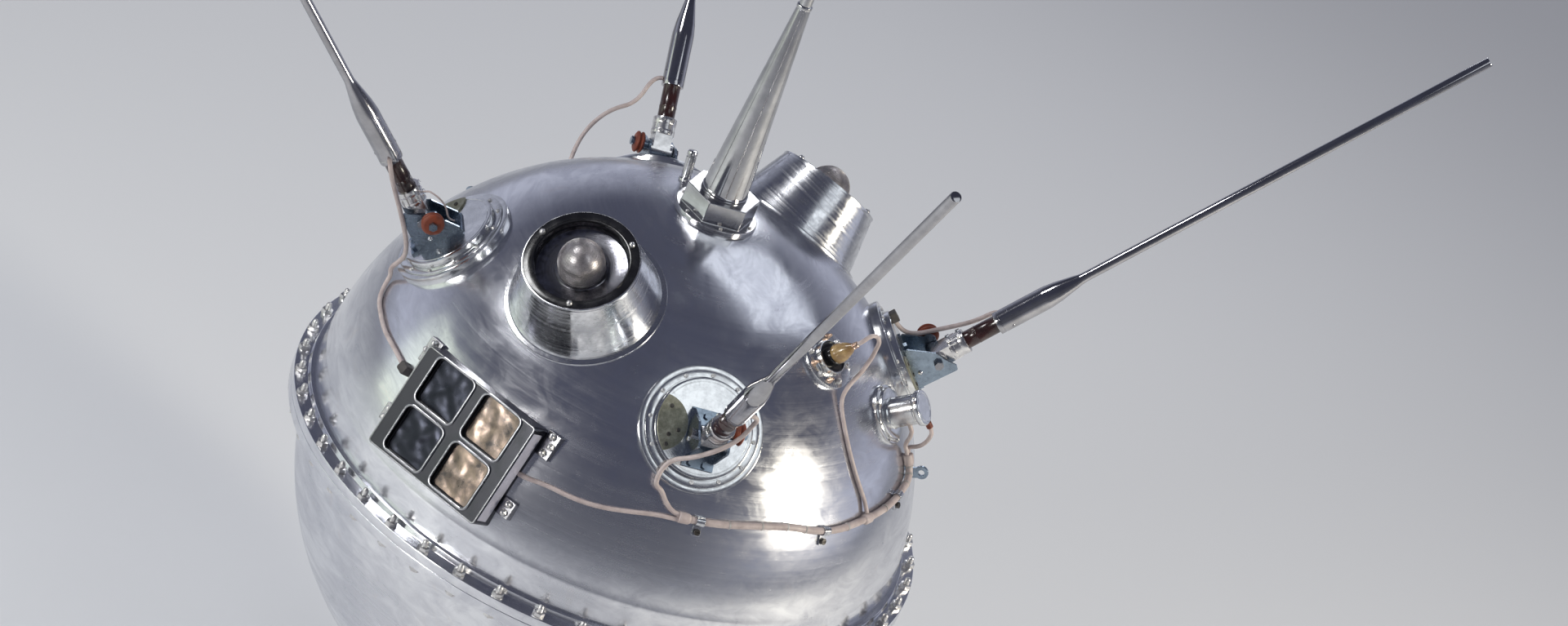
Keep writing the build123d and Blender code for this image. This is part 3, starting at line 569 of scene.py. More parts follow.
def slottedScrew(radius, height):
    form = spinShape([(0, -0.4), (radius, -0.4), (radius, height - 0.5), (radius - 0.5, height), (0, height)], 16)
    for side in (-1, 1):
        cut = (0, side * radius * 0.14 / 1000, 0)
        geom = form.verts[:] + form.edges[:] + form.faces[:]
        bmesh.ops.bisect_plane(form, geom=geom, dist=1e-7, plane_co=cut, plane_no=(0, 1, 0))
    inside = radius * 0.13 / 1000
    strip = [face for face in form.faces if face.normal.z > 0.9 and abs(face.calc_center_median().y) < inside]
    sunk = bmesh.ops.extrude_face_region(form, geom=strip)["geom"]
    sunkVerts = [item for item in sunk if isinstance(item, bmesh.types.BMVert)]
    bmesh.ops.translate(form, verts=sunkVerts, vec=(0, 0, -height * 0.45 / 1000))
    bmesh.ops.delete(form, geom=strip, context="FACES_ONLY")
    return form


def flangeNut(nut, washer=1.2):
    form = spinShape([(0, 0), (nut["washer"], 0), (nut["washer"], washer), (0, washer)], 16)
    addCopies(form, hexNut(nut["flats"], nut["height"]), [shift(0, 0, washer)])
    if nut["stud"]:
        reach = washer + nut["height"] + nut["stud"]
        stud = [(0, 1), (4, 1), (4, reach), (3.6, reach + 1.8), (2.3, reach + 3.3), (0, reach + 4)]
        addCopies(form, spinShape(stud, 12), [Matrix()])
    return form


def scatterTurns(places):
    return [place @ turn(dice.uniform(0, 180), "Z") for place in places]


def screwHeads(name, size, places, *replaced, finish=None):
    makePiece(name, copiesOf(slottedScrew(*size), scatterTurns(places)), "flange_steel", *replaced, finish=finish)


nutSizes = dict(
    above=dict(washer=7.7, flats=13.0, height=5.3, stud=5.5),
    below=dict(washer=7.7, flats=13.0, height=4.1, stud=0.0),
    places=[(5.0 + 7.5 * k, 417.0, 12.5) for k in range(48)],
)
flangeForm = copiesOf(flangeNut(nutSizes["above"]), scatterTurns(around([Matrix()], nutSizes["places"])))
under = around([Matrix()], [(angle, radius, -height) for angle, radius, height in nutSizes["places"]])
under = [place @ turn(180, "X") for place in under]
addCopies(flangeForm, flangeNut(nutSizes["below"]), scatterTurns(under))
makePiece("flangeNuts", flangeForm, "flange_steel", "flange_bolts")

# radius and height of a screw, then its places on a boss
screwSizes = dict(
    boss=(2.6, 2.0),
    bossPlaces=[(30 * k, 67, 406) for k in range(12)],
    # dark screws on the khaki plates, dots of the painted reflection of the bracket cheek
    cover=(2.7, 1.5),
    coverPlaces=[(10.8, -32, 416.5), (18.5, -43, 416.5), (31, -44, 416.5), (-16, -46, 416.5)],
)
bossPlaces = [shellAxes(azimuth, bossPolar) for azimuth in (0, 90, 180, 270)]
screwHeads("bossScrewHeads", screwSizes["boss"], around(bossPlaces, screwSizes["bossPlaces"]), "boss_screws")
# screws of the khaki plates: part of the painted reflection of each cheek in its boss
onReflectionPlates = [axes @ shift(*place) for axes in bossPlaces for place in screwSizes["coverPlaces"]]
screwHeads("coverScrewHeads", screwSizes["cover"], onReflectionPlates, "cover_screws", finish="darkScrew")
print("fasteners ready")

# mast: collar, cone and tube, magnetometer head, posts
mast = dict(
    cone=[
        (0, 430.0), (30.2, 430.6, 0.5), (30.2, 434.4, 0.5), (29.2, 435.4), (9.2, 701.0), (9.9, 702.0, 0.5),
        (9.9, 706.0, 0.5), (8.0, 707.0),
    ],
    tube=[(8.0, 982.0), (8.7, 983.0, 0.3), (8.7, 989.0, 0.3), (8.0, 990.0), (8.0, 1264.0), (0, 1264.5)],
    head=[
        (0, 1265), (20, 1265, 0.8), (27, 1271, 1.5), (27, 1286), (26.3, 1286.6), (26.3, 1288.4), (27, 1289),
        (27, 1371), (26.3, 1371.6), (26.3, 1373.4), (27, 1374), (27, 1389, 1.5), (20, 1395, 0.8), (0, 1395),
    ],
    headScrew=(2.0, 1.0),
    headScrewPlaces=[(60 * k, 26.8, z) for k in range(6) for z in (1280, 1380)],
    # azimuth, polar angle, radius and height
    posts=[(110.5, 12.2, 6.5, 34.0), (87.1, 13.3, 4.0, 30.0)],
    collarEase=1.4, collarScrew=(2.3, 1.5),
    collarScrewPlaces=[(30 + 60 * k, 48.3, 403) for k in range(6)],
)
makePiece("mastConeTube", spinShape(mast["cone"] + mast["tube"], 96), "mast_alloy", "mast_tube", sharp=30.0)
headForm = spinShape(mast["head"], 64)
addCopies(headForm, slottedScrew(*mast["headScrew"]), lying(around([Matrix()], mast["headScrewPlaces"])))
makePiece("sensorHead", headForm, "mast_alloy", "magnetometer_head", sharp=30.0)
easedNode("facetedCollar", "mast_collar", mast["collarEase"], segments=3)
screwHeads("collarScrews", mast["collarScrew"], around([Matrix()], mast["collarScrewPlaces"]))
postForm = bmesh.new()
for azimuth, polar, radius, height in mast["posts"]:
    foot, top = radius + 2.4, shellRadius + height + radius
    profile = [
        (0, 396), (foot, 396), (foot, 403, 0.6), (radius, 403.8), (radius, top - 9), (radius - 0.8, top - 8.4),
        (radius - 0.8, top - 7.4), (radius, top - 6.8), (radius, top - 0.5, 1.6), (0, top),
    ]
    addCopies(postForm, spinShape(profile, 32), [shellAxes(azimuth, polar)])
makePiece("turnedPosts", postForm, "mast_alloy", "mast_posts")
print("mast ready")

# bosses, brackets and spools, in the frame of each boss
boss = dict(
    profile=[
        (0, 396.4), (40, 394.0), (78.4, 391.6), (79, 404, 0.8), (73.2, 404), (72.6, 403.4), (72, 403.4),
        (72, 406, 0.7), (63.6, 406), (63.2, 405.2), (62, 405.2), (62, 414, 0.9), (57.6, 414), (57.2, 413.5),
        (56.6, 413.5), (56.2, 414), (0, 414),
    ],
    # the first ease is for the khaki plates, a painted reflection of the bracket cheek
    coverEase=0.4, bracketEase=0.45, pinEase=0.4,
    rivet=[(0, -0.5), (3.3, -0.5), (3.3, 0.5), (2.9, 1.3), (1.8, 1.9), (0, 2.2)],
    rivetPlace=(19.5, 20.0, 425),
    spool=[
        (3.1, 27.0), (11.0, 27.0, 0.8), (14.4, 29.0, 0.8), (14.4, 31.0, 0.6), (12.4, 32.2), (12.4, 33.8),
        (14.4, 35.0, 0.6), (14.4, 37.0, 0.8), (11.0, 39.0, 0.8), (3.1, 39.0),
    ],
    spoolPlace=(3, 0, 449),
)
turnedPiece("turnedBosses", boss["profile"], 128, bossPlaces, "boss_alloy", "antenna_bosses", sharp=30.0)
# khaki plates with dark screws on each boss: a painted reflection of the bracket cheek in the polished drum
easedNode("coverPlates", "boss_covers", boss["coverEase"])
easedNode("hingeBrackets", "antenna_brackets", boss["bracketEase"])
easedNode("hingePinNuts", "hinge_pins", boss["pinEase"], finish="paleEdge")
s, t, height = boss["rivetPlace"]
rivetPlaces = [axes @ shift(s, side * t, height) @ turn(-90 * side, "X") for axes in bossPlaces for side in (-1, 1)]
turnedPiece("cheekRivets", boss["rivet"], 20, rivetPlaces, "bracket_alloy", finish="clip_alloy")
spoolPlaces = [axes @ shift(*boss["spoolPlace"]) @ turn(-90, "X") for axes in bossPlaces]
turnedPiece("rubberSpools", boss["spool"], 48, spoolPlaces, "spool_rubber", "hinge_spools", closed=True)
print("bosses ready")

# antennas: name, azimuth, lean from the mast, splay along the tangent
antennas = [("right", 0, 39.6, 0.3), ("back", 90, 40.8, 0.4), ("left", 180, 42.9, 3.1), ("front", 270, 37.1, -1.7)]
antenna = dict(
    rod=[
        (0, 103), (12.05, 103), (12.05, 89), (15.0, 89, 0.6), (15.0, 95.2), (14.6, 95.5), (14.6, 96.5), (15.0, 96.8),
        (15.0, 161, 3.0), (13.2, 178), (10.8, 191), (8.6, 203), (7.2, 210), (6.6, 215), (6.5, 223), (6.5, 795, 1.6),
        (0, 795),
    ],
    rodScrew=(1.8, 0.9),
    rodScrewPlaces=[(90 * k + 20, 14.6, 108) for k in range(4)],
    insulator=[
        (0, 30), (12, 30), (12, 44.2), (11.6, 45), (11.6, 59), (11.9, 59.4), (11.9, 61.0), (11.6, 61.4), (11.6, 88),
        (12, 89.2), (12, 103), (0, 103),
    ],
    bands=[
        [(13.0, 21.4), (16.0, 21.4, 0.6), (16.0, 27.4, 0.6), (13.0, 27.4)],
        [(13.0, 35.0), (16.0, 35.0, 0.6), (16.0, 43.9, 0.6), (13.0, 43.9)],
    ],
    bandNut=(5.5, 2.8, 0.4),
    bandNutPlaces=[(180 + side * 24, 15.4, height) for height in (24.4, 39.4) for side in (-1, 1)],
    hinge=(349.54, 0, 285.5), clampMiddle=32.5, knuckleEase=0.5,
)


def rodAxes(azimuth, lean, splay):
    middle = antenna["clampMiddle"]
    leaning = turn(azimuth, "Z") @ shift(*antenna["hinge"]) @ turn(lean, "Y")
    return leaning @ shift(0, 0, middle) @ turn(-splay, "X") @ shift(0, 0, -middle)


def buildAntenna(name, axes, sizes):
    body = f"antenna_{name}"
    rod = copiesOf(spinShape(sizes["rod"], 40), [axes])
    addCopies(rod, slottedScrew(*sizes["rodScrew"]), lying(around([axes], sizes["rodScrewPlaces"])))
    makePiece(f"ferruleRod_{name}", rod, "rod_alloy", f"{body}_rod", body=body)
    insulator = copiesOf(spinShape(sizes["insulator"], 40), [axes])
    makePiece(f"laminateRod_{name}", insulator, "insulator_laminate", f"{body}_insulator", body=body)
    clamp = bmesh.new()
    for band in sizes["bands"]:
        addCopies(clamp, spinShape(band, 40, closed=True), [axes])
    addCopies(clamp, hexNut(*sizes["bandNut"]), lying(around([axes], sizes["bandNutPlaces"])))
    makePiece(f"clampBands_{name}", clamp, "knuckle_alloy", body=body)
    easedNode(f"hingeKnuckle_{name}", f"{body}_knuckle", sizes["knuckleEase"], body)


for name, *lie in antennas:
    buildAntenna(name, rodAxes(*lie), antenna)
print("antennas ready")

# particle traps: housing, black ring, polished cup, gauze dome
trapPlaces = [shellAxes(*place) for place in ((224.9, 34.7), (45.7, 34.8), (135.0, 145.3), (315.0, 145.3))]
trap = dict(
    housing=[
        (95, 385.8), (100, 384.6), (100, 390.3, 0.9), (94.6, 390.3), (93.0, 391.0), (73.0, 462.2), (72.9, 463.0),
        (72.9, 467, 0.7), (71, 467), (71, 464), (67, 464), (67, 461.5),
    ],
    ring=[
        (58.5, 464.2), (58.5, 467, 0.6), (60.6, 467), (61, 466.4), (61.6, 466.4), (62, 467), (70.9, 467, 0.5),
        (70.9, 464.2),
    ],
    cup=[
        (0, 450), (56, 450), (63, 463), (65.5, 463), (65.5, 464), (60.6, 464, 0.6), (58.0, 457.5), (56.2, 452.4, 1.2),
        (34, 452), (33, 452.8), (30.4, 452.8), (29.6, 452), (0, 452),
    ],
    screw=[(0, 466.6), (4, 466.6), (4, 468.6, 0.4), (3.4, 470.4), (2.0, 471.8), (0, 472.4)],
    screwPlaces=[(31.4 + 120 * k, 64, 0) for k in range(3)],
    gauzeRadius=28.8, gauzeWire=0.55, gauzeCells=30, gauzeSpring=464.0, gauzeFoot=452.0,
    skirtRows=4, innerRadius=27.4, innerFoot=451,
)
turnedPiece("trapCones", trap["housing"], 128, trapPlaces, "trap_alloy", "trap_housings", closed=True, sharp=30.0)
turnedPiece("trapBlackRings", trap["ring"], 96, trapPlaces, "trap_black", "trap_rings", closed=True, sharp=30.0)
turnedPiece("trapPolishedCups", trap["cup"], 96, trapPlaces, "trap_mirror", "trap_cups", sharp=30.0)
trapScrews = around(trapPlaces, trap["screwPlaces"])
turnedPiece("trapRingScrews", trap["screw"], 24, trapScrews, "flange_steel", "trap_screws")


def gauzeDome(sizes):
    # square gauze drawn over a round former, its skirt down to the cup
    form = bmesh.new()
    bmesh.ops.create_grid(form, x_segments=sizes["gauzeCells"], y_segments=sizes["gauzeCells"], size=1.0)
    radius, spring = sizes["gauzeRadius"] / 1000, sizes["gauzeSpring"] / 1000
    for vert in form.verts:
        x, y = vert.co.x, vert.co.y
        spread = math.hypot(x, y) or 1.0
        bend = math.radians(90.0 * max(abs(x), abs(y)))
        flat = radius * math.sin(bend)
        vert.co = (flat * x / spread, flat * y / spread, spring + radius * math.cos(bend))
    rim = [edge for edge in form.edges if edge.is_boundary]
    step = (sizes["gauzeSpring"] - sizes["gauzeFoot"]) / sizes["skirtRows"] / 1000
    for row in range(sizes["skirtRows"]):
        grown = bmesh.ops.extrude_edge_only(form, edges=rim)["geom"]
        rim = [item for item in grown if isinstance(item, bmesh.types.BMEdge) and item.is_boundary]
        lowered = list({vert for edge in rim for vert in edge.verts})
        bmesh.ops.translate(form, verts=lowered, vec=(0, 0, -step))
    bmesh.ops.wireframe(
        form, faces=form.faces[:], thickness=sizes["gauzeWire"] / 1000, offset=0.0, use_replace=True,
        use_boundary=True, use_even_offset=False, use_relative_offset=False)
    return form


makePiece("trapGauzeDomes", copiesOf(gauzeDome(trap), trapPlaces), "trap_mesh", "trap_domes", sharp=80.0)
inner, foot = trap["innerRadius"], trap["innerFoot"]
innerDome = [(0, foot), (inner, foot)] + arc(inner, 90.0, 0.0, 20, trap["gauzeSpring"])
turnedPiece("trapInnerDomes", innerDome, 64, trapPlaces, "trap_mesh")
print("traps ready")

# impact detectors: frame with its strips and feet, gaskets and thin dented plates
detectorPlaces = [shellAxes(224.6, 68.5), shellAxes(44.6, 68.5)]
detector = dict(
    windows=[(x, y) for x in (-37.0, 33.0) for y in (-39.25, 39.25)],
    plate=59.4, plateTop=413.0, plateSteps=22, plateSkirt=1.8, dent=0.9, dentScales=(42.0, 95.0),
    frameEase=1.6, footEase=0.9,
    # rings round the windows and the face: width, corner radius and height of each row
    gasket=[(60.2, 7.0, 413.2), (60.2, 7.0, 414.6), (58.0, 6.0, 414.2), (58.0, 6.0, 413.2)],
    lip=[
        (60.2, 7.1, 420.0), (60.2, 7.1, 421.2), (61.6, 7.8, 421.8), (63.6, 8.8, 422.0), (65.6, 9.8, 421.8),
        (67.0, 10.5, 421.2), (67.0, 10.5, 420.0),
    ],
    edge=[
        (136.4, 3.0, 419.0), (136.4, 3.0, 420.2), (137.2, 3.4, 420.7), (139.4, 4.5, 420.7), (140.4, 5.0, 420.2),
        (140.4, 5.0, 419.0),
    ],
    longer=41.0, side=(126.0, 0.8, 21.5), sidePlace=(0.0, 91.2, 407.3), sideEase=0.2, halfLength=91,
    # place along the width, then the nuts as place and distance from the body
    footRows=[(-57.0, [(-68.5, 10.0), (-57.0, 15.0), (-45.5, 10.0)]), (35.0, [(29.2, 12.0), (40.8, 12.0)])],
    footRise=4, nut=(4.6, 8.0),
)


def dentedPlates(sizes, side):
    plates = bmesh.new()
    steps, size = sizes["plateSteps"], sizes["plate"] / 2000
    for axes in detectorPlaces:
        for x, y in sizes["windows"]:
            if y * side < 0:
                continue
            form = bmesh.new()
            bmesh.ops.create_grid(form, x_segments=steps, y_segments=steps, size=size)
            seed = Vector((x * 0.31, y * 0.17, 3.0 * side))
            coarse, fine = sizes["dentScales"]
            for vert in form.verts:
                edge = 1.0 - max(abs(vert.co.x), abs(vert.co.y)) * 2000 / sizes["plate"]
                depth = noise.noise(vert.co * coarse + seed) + 0.5 * noise.noise(vert.co * fine + seed)
                vert.co.z += sizes["dent"] / 1000 * depth * min(1.0, edge * 5.0)
            rim = [edge for edge in form.edges if edge.is_boundary]
            for item in bmesh.ops.extrude_edge_only(form, edges=rim)["geom"]:
                if isinstance(item, bmesh.types.BMVert):
                    item.co.z -= sizes["plateSkirt"] / 1000
            addCopies(plates, form, [axes @ shift(x, y, sizes["plateTop"])])
    return plates


def roundedLoop(width, corner, longer, steps=5):
    half = width / 2 - corner
    reach = half + longer / 2
    points = []
    for k, (x, y) in enumerate(((half, reach), (-half, reach), (-half, -reach), (half, -reach))):
        for j in range(steps + 1):
            a = math.radians(90 * k + 90 * j / steps)
            points.append((x + corner * math.cos(a), y + corner * math.sin(a)))
    return points


def windowRing(rows, longer=0.0):
    # closed ring; a long one needs its rows from the inside out, or the bridges cross
    form = bmesh.new()
    loops = []
    for width, corner, height in rows:
        verts = [form.verts.new((x / 1000, y / 1000, height / 1000)) for x, y in roundedLoop(width, corner, longer)]
        loops.append([form.edges.new((verts[k], verts[(k + 1) % len(verts)])) for k in range(len(verts))])
    for first, second in zip(loops, loops[1:] + loops[:1]):
        bmesh.ops.bridge_loops(form, edges=first + second)
    bmesh.ops.recalc_face_normals(form, faces=form.faces)
    return form


def sidePlates(sizes):
    form = bmesh.new()
    bmesh.ops.create_cube(form, size=0.001)
    bmesh.ops.scale(form, vec=sizes["side"], verts=form.verts)
    bevelForm(form, form.edges[:], sizes["sideEase"], 2)
    x, y, z = sizes["sidePlace"]
    return copiesOf(form, [axes @ shift(x, side * y, z) for axes in detectorPlaces for side in (-1, 1)])


def endTop(sizes, place):
    # height of the shell at an end of a detector
    return math.sqrt(shellRadius**2 - sizes["halfLength"]**2 - place**2)


makePiece("dentedPlatesDark", dentedPlates(detector, -1), "plate_dark", "detector_plates_dark")
makePiece("dentedPlatesCopper", dentedPlates(detector, 1), "plate_copper", "detector_plates_copper")
easedNode("detectorFrames", "detector_frames", detector["frameEase"], segments=3)
easedNode("detectorFeet", "detector_feet", detector["footEase"], finish="paleEdge")
windows = [axes @ shift(x, y, 0) for axes in detectorPlaces for x, y in detector["windows"]]
makePiece("windowGaskets", copiesOf(windowRing(detector["gasket"]), windows), "trap_black")
makePiece("windowLips", copiesOf(windowRing(detector["lip"]), windows), "detector_grey", finish="paleEdge")
edgeForm = copiesOf(windowRing(detector["edge"], detector["longer"]), detectorPlaces)
makePiece("frameEdges", edgeForm, "detector_grey", finish="paleEdge")
makePiece("frameSidePlates", sidePlates(detector), "detector_grey", finish="sidePlate")
footNuts = []
for axes in detectorPlaces:
    for side in (-1, 1):
        for place, spots in detector["footRows"]:
            top = endTop(detector, place) + detector["footRise"]
            footNuts += [axes @ shift(x, side * (detector["halfLength"] + away), top) for x, away in spots]
makePiece("detectorNuts", copiesOf(domeNut(*detector["nut"]), scatterTurns(footNuts)), "flange_steel", "detector_nuts")
print("detectors ready")

# feed-through ports
amberAxes, steppedAxes = shellAxes(313.2, 34.7), shellAxes(332.6, 49.2)
port = dict(
    amberBody=[
        (0, 396.6), (38.6, 396.6), (39, 404, 0.9), (23.4, 404), (22.4, 404.8), (22, 412, 0.9), (20.4, 412),
        (20.0, 408.6), (0, 408.6),
    ],
    recess=[(12.7, 408.0), (12.7, 411.2, 0.5), (19.8, 410.2), (19.8, 408.0)],
    neck=[(11.4, 408.0), (13.0, 408.0), (13.0, 418.6, 0.8), (11.4, 419.4)],
    cone=[
        (0, 408), (11.9, 408), (11.9, 419.0), (12.6, 420.4), (12.7, 423.5), (12.0, 428), (10.4, 434), (8.3, 439),
        (6.2, 443), (4.2, 446.6), (3.5, 448), (0, 448.2),
    ],
    terminal=[
        (0, 447.4), (4.4, 447.4, 0.4), (4.4, 449.4, 0.4), (3.2, 449.8), (3.2, 451.6), (4.2, 452.0, 0.4),
        (4.2, 454.0, 0.4), (3.0, 455.4, 0.5), (0, 455.9),
    ],
    steppedBody=[
        (0, 396.6), (38.6, 396.6), (39, 404, 0.9), (34.0, 404), (33.2, 404.6), (33, 409, 0.9), (20.6, 409),
        (19.5, 410.2), (19.5, 441.4), (18.9, 442.0), (18.9, 444), (0, 444),
    ],
    cap=[
        (0, 444), (21.6, 444, 0.5), (22.9, 445.2, 0.5), (22.9, 450.8, 0.8), (21.6, 452, 0.5), (19.0, 452),
        (18.6, 451.6), (18.0, 451.6), (17.6, 452), (0, 452),
    ],
    postCone=[(0, 403.6), (3.9, 403.6), (3.6, 405.2, 0.4), (2.3, 409.0), (1.7, 411.6, 0.5), (0, 412.2)],
    # radius and height of a nut, then the places round the port
    amberNut=(4.0, 6.0),
    amberNutPlaces=[(60 * k, 31, 404) for k in range(6)],
    steppedNut=(2.1, 2.6),
    steppedNutPlaces=[(45 * k, 36, 404) for k in range(8)],
    postPlaces=[(30 + 60 * k, 30.6, 0) for k in (2, 3, 4, 5)],
    bootEase=0.8,
)
onAmber, onStepped = [amberAxes], [steppedAxes]
turnedPiece("amberPortBody", port["amberBody"], 96, onAmber, "boss_alloy", "amber_port", sharp=30.0)
recessForm = copiesOf(spinShape(port["recess"], 64, closed=True), onAmber)
addCopies(recessForm, spinShape(port["neck"], 64, closed=True), onAmber)
makePiece("amberRecess", recessForm, "trap_black")
turnedPiece("amberCone", port["cone"], 64, onAmber, "amber_resin", "amber_insulator", sharp=60.0)
turnedPiece("amberTerminalNut", port["terminal"], 32, onAmber, "terminal_metal", "amber_terminal")
turnedPiece("steppedPortBody", port["steppedBody"], 96, onStepped, "boss_alloy", "stepped_port", sharp=30.0)
turnedPiece("steppedPortLid", port["cap"], 96, onStepped, "boss_alloy", "stepped_port_cap", sharp=30.0)
portNutForm = copiesOf(domeNut(*port["amberNut"]), around(onAmber, port["amberNutPlaces"]))
addCopies(portNutForm, domeNut(*port["steppedNut"]), around(onStepped, port["steppedNutPlaces"]))
makePiece("portDomeNuts", portNutForm, "flange_steel", "port_nuts")
turnedPiece("portTerminals", port["postCone"], 24, around(onAmber, port["postPlaces"]), "terminal_metal")
easedNode("capBoot", "cap_boot", port["bootEase"])
print("ports ready")

# wiring harness: azimuth, polar angle and what holds the run that starts there
trunkRoute = [
    (-88.5, 64.1, "clip"), (-83.5, 64.1, ""), (-76.5, 63.5, ""), (-69.5, 63.2, ""), (-65.0, 63.4, ""),
    (-60.5, 64.2, "clip"), (-54.1, 64.7, ""), (-48.0, 64.3, "sleeve"), (-41.0, 64.2, ""), (-34.4, 64.0, "clip"),
    (-28.0, 63.4, ""), (-24.6, 63.0, ""), (-22.9, 61.7, ""), (-22.9, 60.3, ""),
]
harness = dict(
    trunk=4.6, trunkRise=5.7,
    sleeve=[(4.3, -3.4), (5.4, -3.0, 0.4), (6.7, -0.6, 1.0), (6.9, 5, 1.0), (6.9, 11.0, 1.0), (6.2, 12, 0.5), (0, 12)],
    middleSleeve=[(4.4, -8.0), (5.6, -7.6, 0.5), (6.9, -5.0, 1.0), (6.9, 5.0, 1.0), (5.6, 7.6, 0.5), (4.4, 8.0)],
    tie=[(4.3, -1.1), (5.3, -1.1, 0.5), (5.3, 1.1, 0.5), (4.3, 1.1)],
    clipEase=0.35, clipScrew=(4.0, 3.8), clipAside=-13.6, clipFoot=402.4,
    mouthAside=3.3, sideMouth=7.3, branch=2.8, branchFoot=(8, 3.6), bootTurn=15, bootEnd=(31.0, 448.0),
    lead=3.0, leadSide=(15.3, 27.3), leadRise=3.8, glandEase=0.9, eyeEase=1.0,
    # in metres
    mouthReach=0.0123, leadIn=0.007, leadHeight=0.097, leadEnd=(0.02, 0.02, 0.43),
)
trunkPoints = [onShell(azimuth, polar, harness["trunkRise"]) for azimuth, polar, held in trunkRoute]
trunkStart = (trunkPoints[0] - trunkPoints[1]).normalized()
trunkEnd = (trunkPoints[-1] - trunkPoints[-2]).normalized()
harnessForm = cableForm(trunkPoints, harness["trunk"], 4)
ends = [alongWay(trunkPoints[0], trunkStart), alongWay(trunkPoints[-1], trunkEnd)]
addCopies(harnessForm, spinShape(harness["sleeve"], 24), ends)
clipScrewPlaces, tiePlaces = [], []
for k, (azimuth, polar, held) in enumerate(trunkRoute[:-1]):
    run = runAxes(trunkPoints[k], trunkPoints[k + 1])
    if held == "sleeve":
        addCopies(harnessForm, spinShape(harness["middleSleeve"], 24), [run @ turn(90, "Y")])
    elif held == "clip":
        drop = harness["clipFoot"] - run.translation.length * 1000
        clipScrewPlaces.append(run @ shift(0, harness["clipAside"], drop))
    else:
        tiePlaces.append(run @ turn(90, "Y"))
makePiece("harnessTrunk", harnessForm, "harness_sleeve", "harness_trunk")
turnedPiece("harnessTies", harness["tie"], 24, tiePlaces, "harness_sleeve", closed=True, finish="whiteSleeve")
easedNode("harnessPClips", "harness_clips", harness["clipEase"])
screwHeads("clipScrewHeads", harness["clipScrew"], clipScrewPlaces, "clip_screws", finish="darkScrew")


def mouthPoints(point, way, side):
    # the last two points of a lead, into an end sleeve
    mouth = point + way * harness["mouthReach"]
    mouth += point.normalized().cross(way) * side * harness["mouthAside"] / 1000
    return [mouth + way * harness["leadIn"], mouth]


def branchPoints(axes, origin, way, places, tail=()):
    # straight out of its terminal, then over the shell
    start = [axes @ Vector([(origin[i] + way[i] * reach) / 1000 for i in range(3)]) for reach in (0.3, 7.3)]
    return start + [onShell(*place) for place in places] + list(tail)


place, rise = harness["branchFoot"]
foot = endTop(detector, place) + rise
sideMouth = runAxes(trunkPoints[7], trunkPoints[8]) @ Vector((0, harness["sideMouth"] / 1000, 0))
bootTurn = math.radians(harness["bootTurn"])
bootWay = (math.cos(bootTurn), math.sin(bootTurn), 0.0)
reach, height = harness["bootEnd"]
bootEnd = (bootWay[0] * reach, bootWay[1] * reach, height)
detectorRoute = [(-115.7, 67.3, 3.6), (-110.3, 67.4, 3.6), (-105.0, 66.9, 3.6), (-99.5, 65.8, 3.6), (-94.5, 64.8, 4.2)]
amberRoute = [
    (-44.6, 34.4, 66.0), (-42.2, 34.4, 67.5), (-39.5, 35.0, 64.0), (-37.4, 35.8, 56.0), (-36.5, 36.5, 46.0),
    (-37.2, 37.6, 35.5), (-40.7, 39.1, 23.0), (-45.3, 40.4, 12.5), (-48.0, 42.4, 4.4), (-48.8, 46.5, 3.6),
    (-48.6, 51.0, 3.6), (-47.6, 55.2, 3.6), (-46.0, 58.8, 3.6), (-44.7, 61.4, 3.8),
]
capRoute = [(-25.6, 54.8, 45.5), (-24.9, 56.0, 36.5), (-23.8, 57.0, 24.5), (-22.9, 57.3, 12.5)]
bodyRoute = [(-26.6, 53.3, 25.0), (-25.4, 54.7, 18.0), (-24.4, 55.8, 10.0), (-23.7, 56.8, 6.0)]
startMouth = mouthPoints(trunkPoints[0], trunkStart, 1)
capMouth, bodyMouth = (mouthPoints(trunkPoints[-1], trunkEnd, side) for side in (-1, 1))
branches = [
    branchPoints(detectorPlaces[0], (-8, 91, foot), (0, 1, 0), detectorRoute, startMouth),
    branchPoints(amberAxes, (0, 0, 456), (0, 0, 1), amberRoute, [sideMouth]),
    branchPoints(steppedAxes, bootEnd, bootWay, capRoute, capMouth),
    branchPoints(steppedAxes, (19.5, 0, 426), (1, 0, 0), bodyRoute, bodyMouth),
    branchPoints(detectorPlaces[1], (-8, -91, foot), (0, -1, 0), [(26.5, 67.0, 3.8), (22.0, 66.7, 3.6)]),
]
branchForm = bmesh.new()
for points in branches:
    addCopies(branchForm, cableForm(points, harness["branch"]), [Matrix()])
makePiece("harnessBranches", branchForm, "harness_sleeve", "harness_branches")

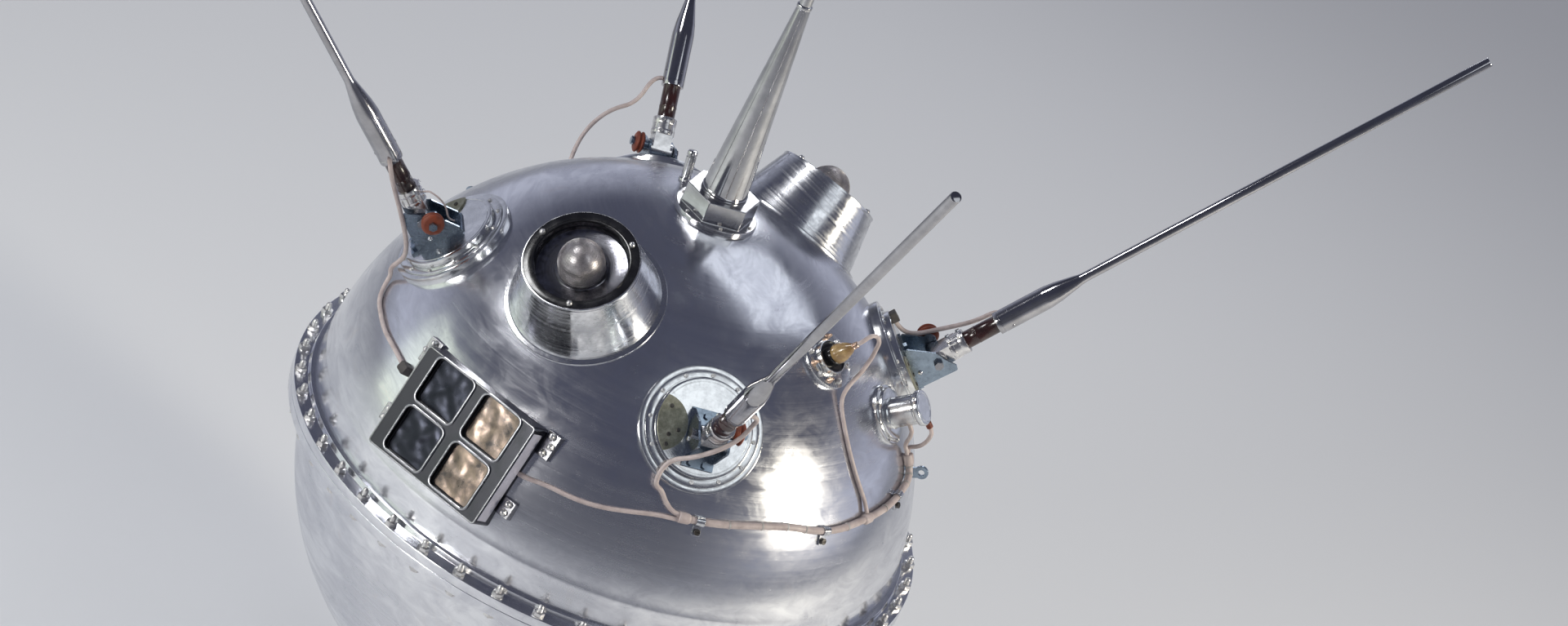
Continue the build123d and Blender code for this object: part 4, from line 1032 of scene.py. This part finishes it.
# feed leads: each leaves its ferrule, passes the hinge and ends at the shell;
# points in the frame of the boss, then azimuth and polar angle on the shell
leadRoutes = {
    "back": (
        [(19, 41, 109), (20, 71, 92), (25, 91, 71), (34, 104, 47), (48, 109, 18), (58, 108, -8)],
        [(106.6, 58.8), (106.2, 61.5)],
    ),
    "right": (
        [(4, 25, 112), (-2, 23.5, 80), (-6, 23.5, 58), (-9, 23.5, 41), (-15, 24, 27), (-26, 26, 19), (-36, 27.5, 17.6)],
        [],
    ),
    "left": (
        [(17, 27, 124), (24, 28, 100), (35, 28, 66), (46, 25, 38), (58, 18, 19), (72, 11, 11), (86, 7, 7), (92, 5, -4)],
        [(180.8, 63.0), (184.0, 65.4), (190.0, 65.9), (194.5, 66.3), (199.5, 66.2), (204.5, 66.6)],
    ),
    "front": (
        [
            (5, 26, 119), (16, 24, 95), (32, 8, 78), (41, -8, 62), (46, -20, 43), (47, -29, 27), (52, -36, 18.5),
            (61, -41, 12.5), (72, -43, 7.5), (80, -41, 0),
        ],
        [(-94.9, 60.6), (-93.6, 62.3)],
    ),
}
for name, *lie in antennas:
    axes, bossAxes = rodAxes(*lie), shellAxes(lie[0], bossPolar)
    raised, landed = leadRoutes[name]
    points = [axes @ Vector((0, side / 1000, harness["leadHeight"])) for side in harness["leadSide"]]
    points += offBoss(bossAxes, raised) + [onShell(*place, harness["leadRise"]) for place in landed]
    if name == "front":
        points += mouthPoints(trunkPoints[0], trunkStart, -1)
    lead = cableForm(points, harness["lead"])
    piece = makePiece(f"feedLead_{name}", lead, "harness_sleeve", f"lead_{name}", body=None)
    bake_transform(piece)

# thin bonding wire from the left clamp down to a bolt of its bracket
bond = dict(
    radius=1.2,
    clamp=[(-15.5, 4, 31), (-22, 8, 31)],
    route=[(-12, 13, 80), (-18, 15, 66), (-18, 13, 50), (-12, 10, 36), (-12, 5, 27), (-14, 1, 22)],
)
leftAxes = rodAxes(*antennas[2][1:])
bondPoints = [leftAxes @ Vector((x / 1000, y / 1000, z / 1000)) for x, y, z in bond["clamp"]]
bondPoints += offBoss(bossPlaces[2], bond["route"])
bondWire = makePiece("bondWire_left", cableForm(bondPoints, bond["radius"], 2), "harness_sleeve", body=None)
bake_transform(bondWire)
easedNode("leadGlands", "lead_glands", harness["glandEase"])
easedNode("liftingEyes", "lifting_eyes", harness["eyeEase"], segments=3)
print("harness and leads ready")
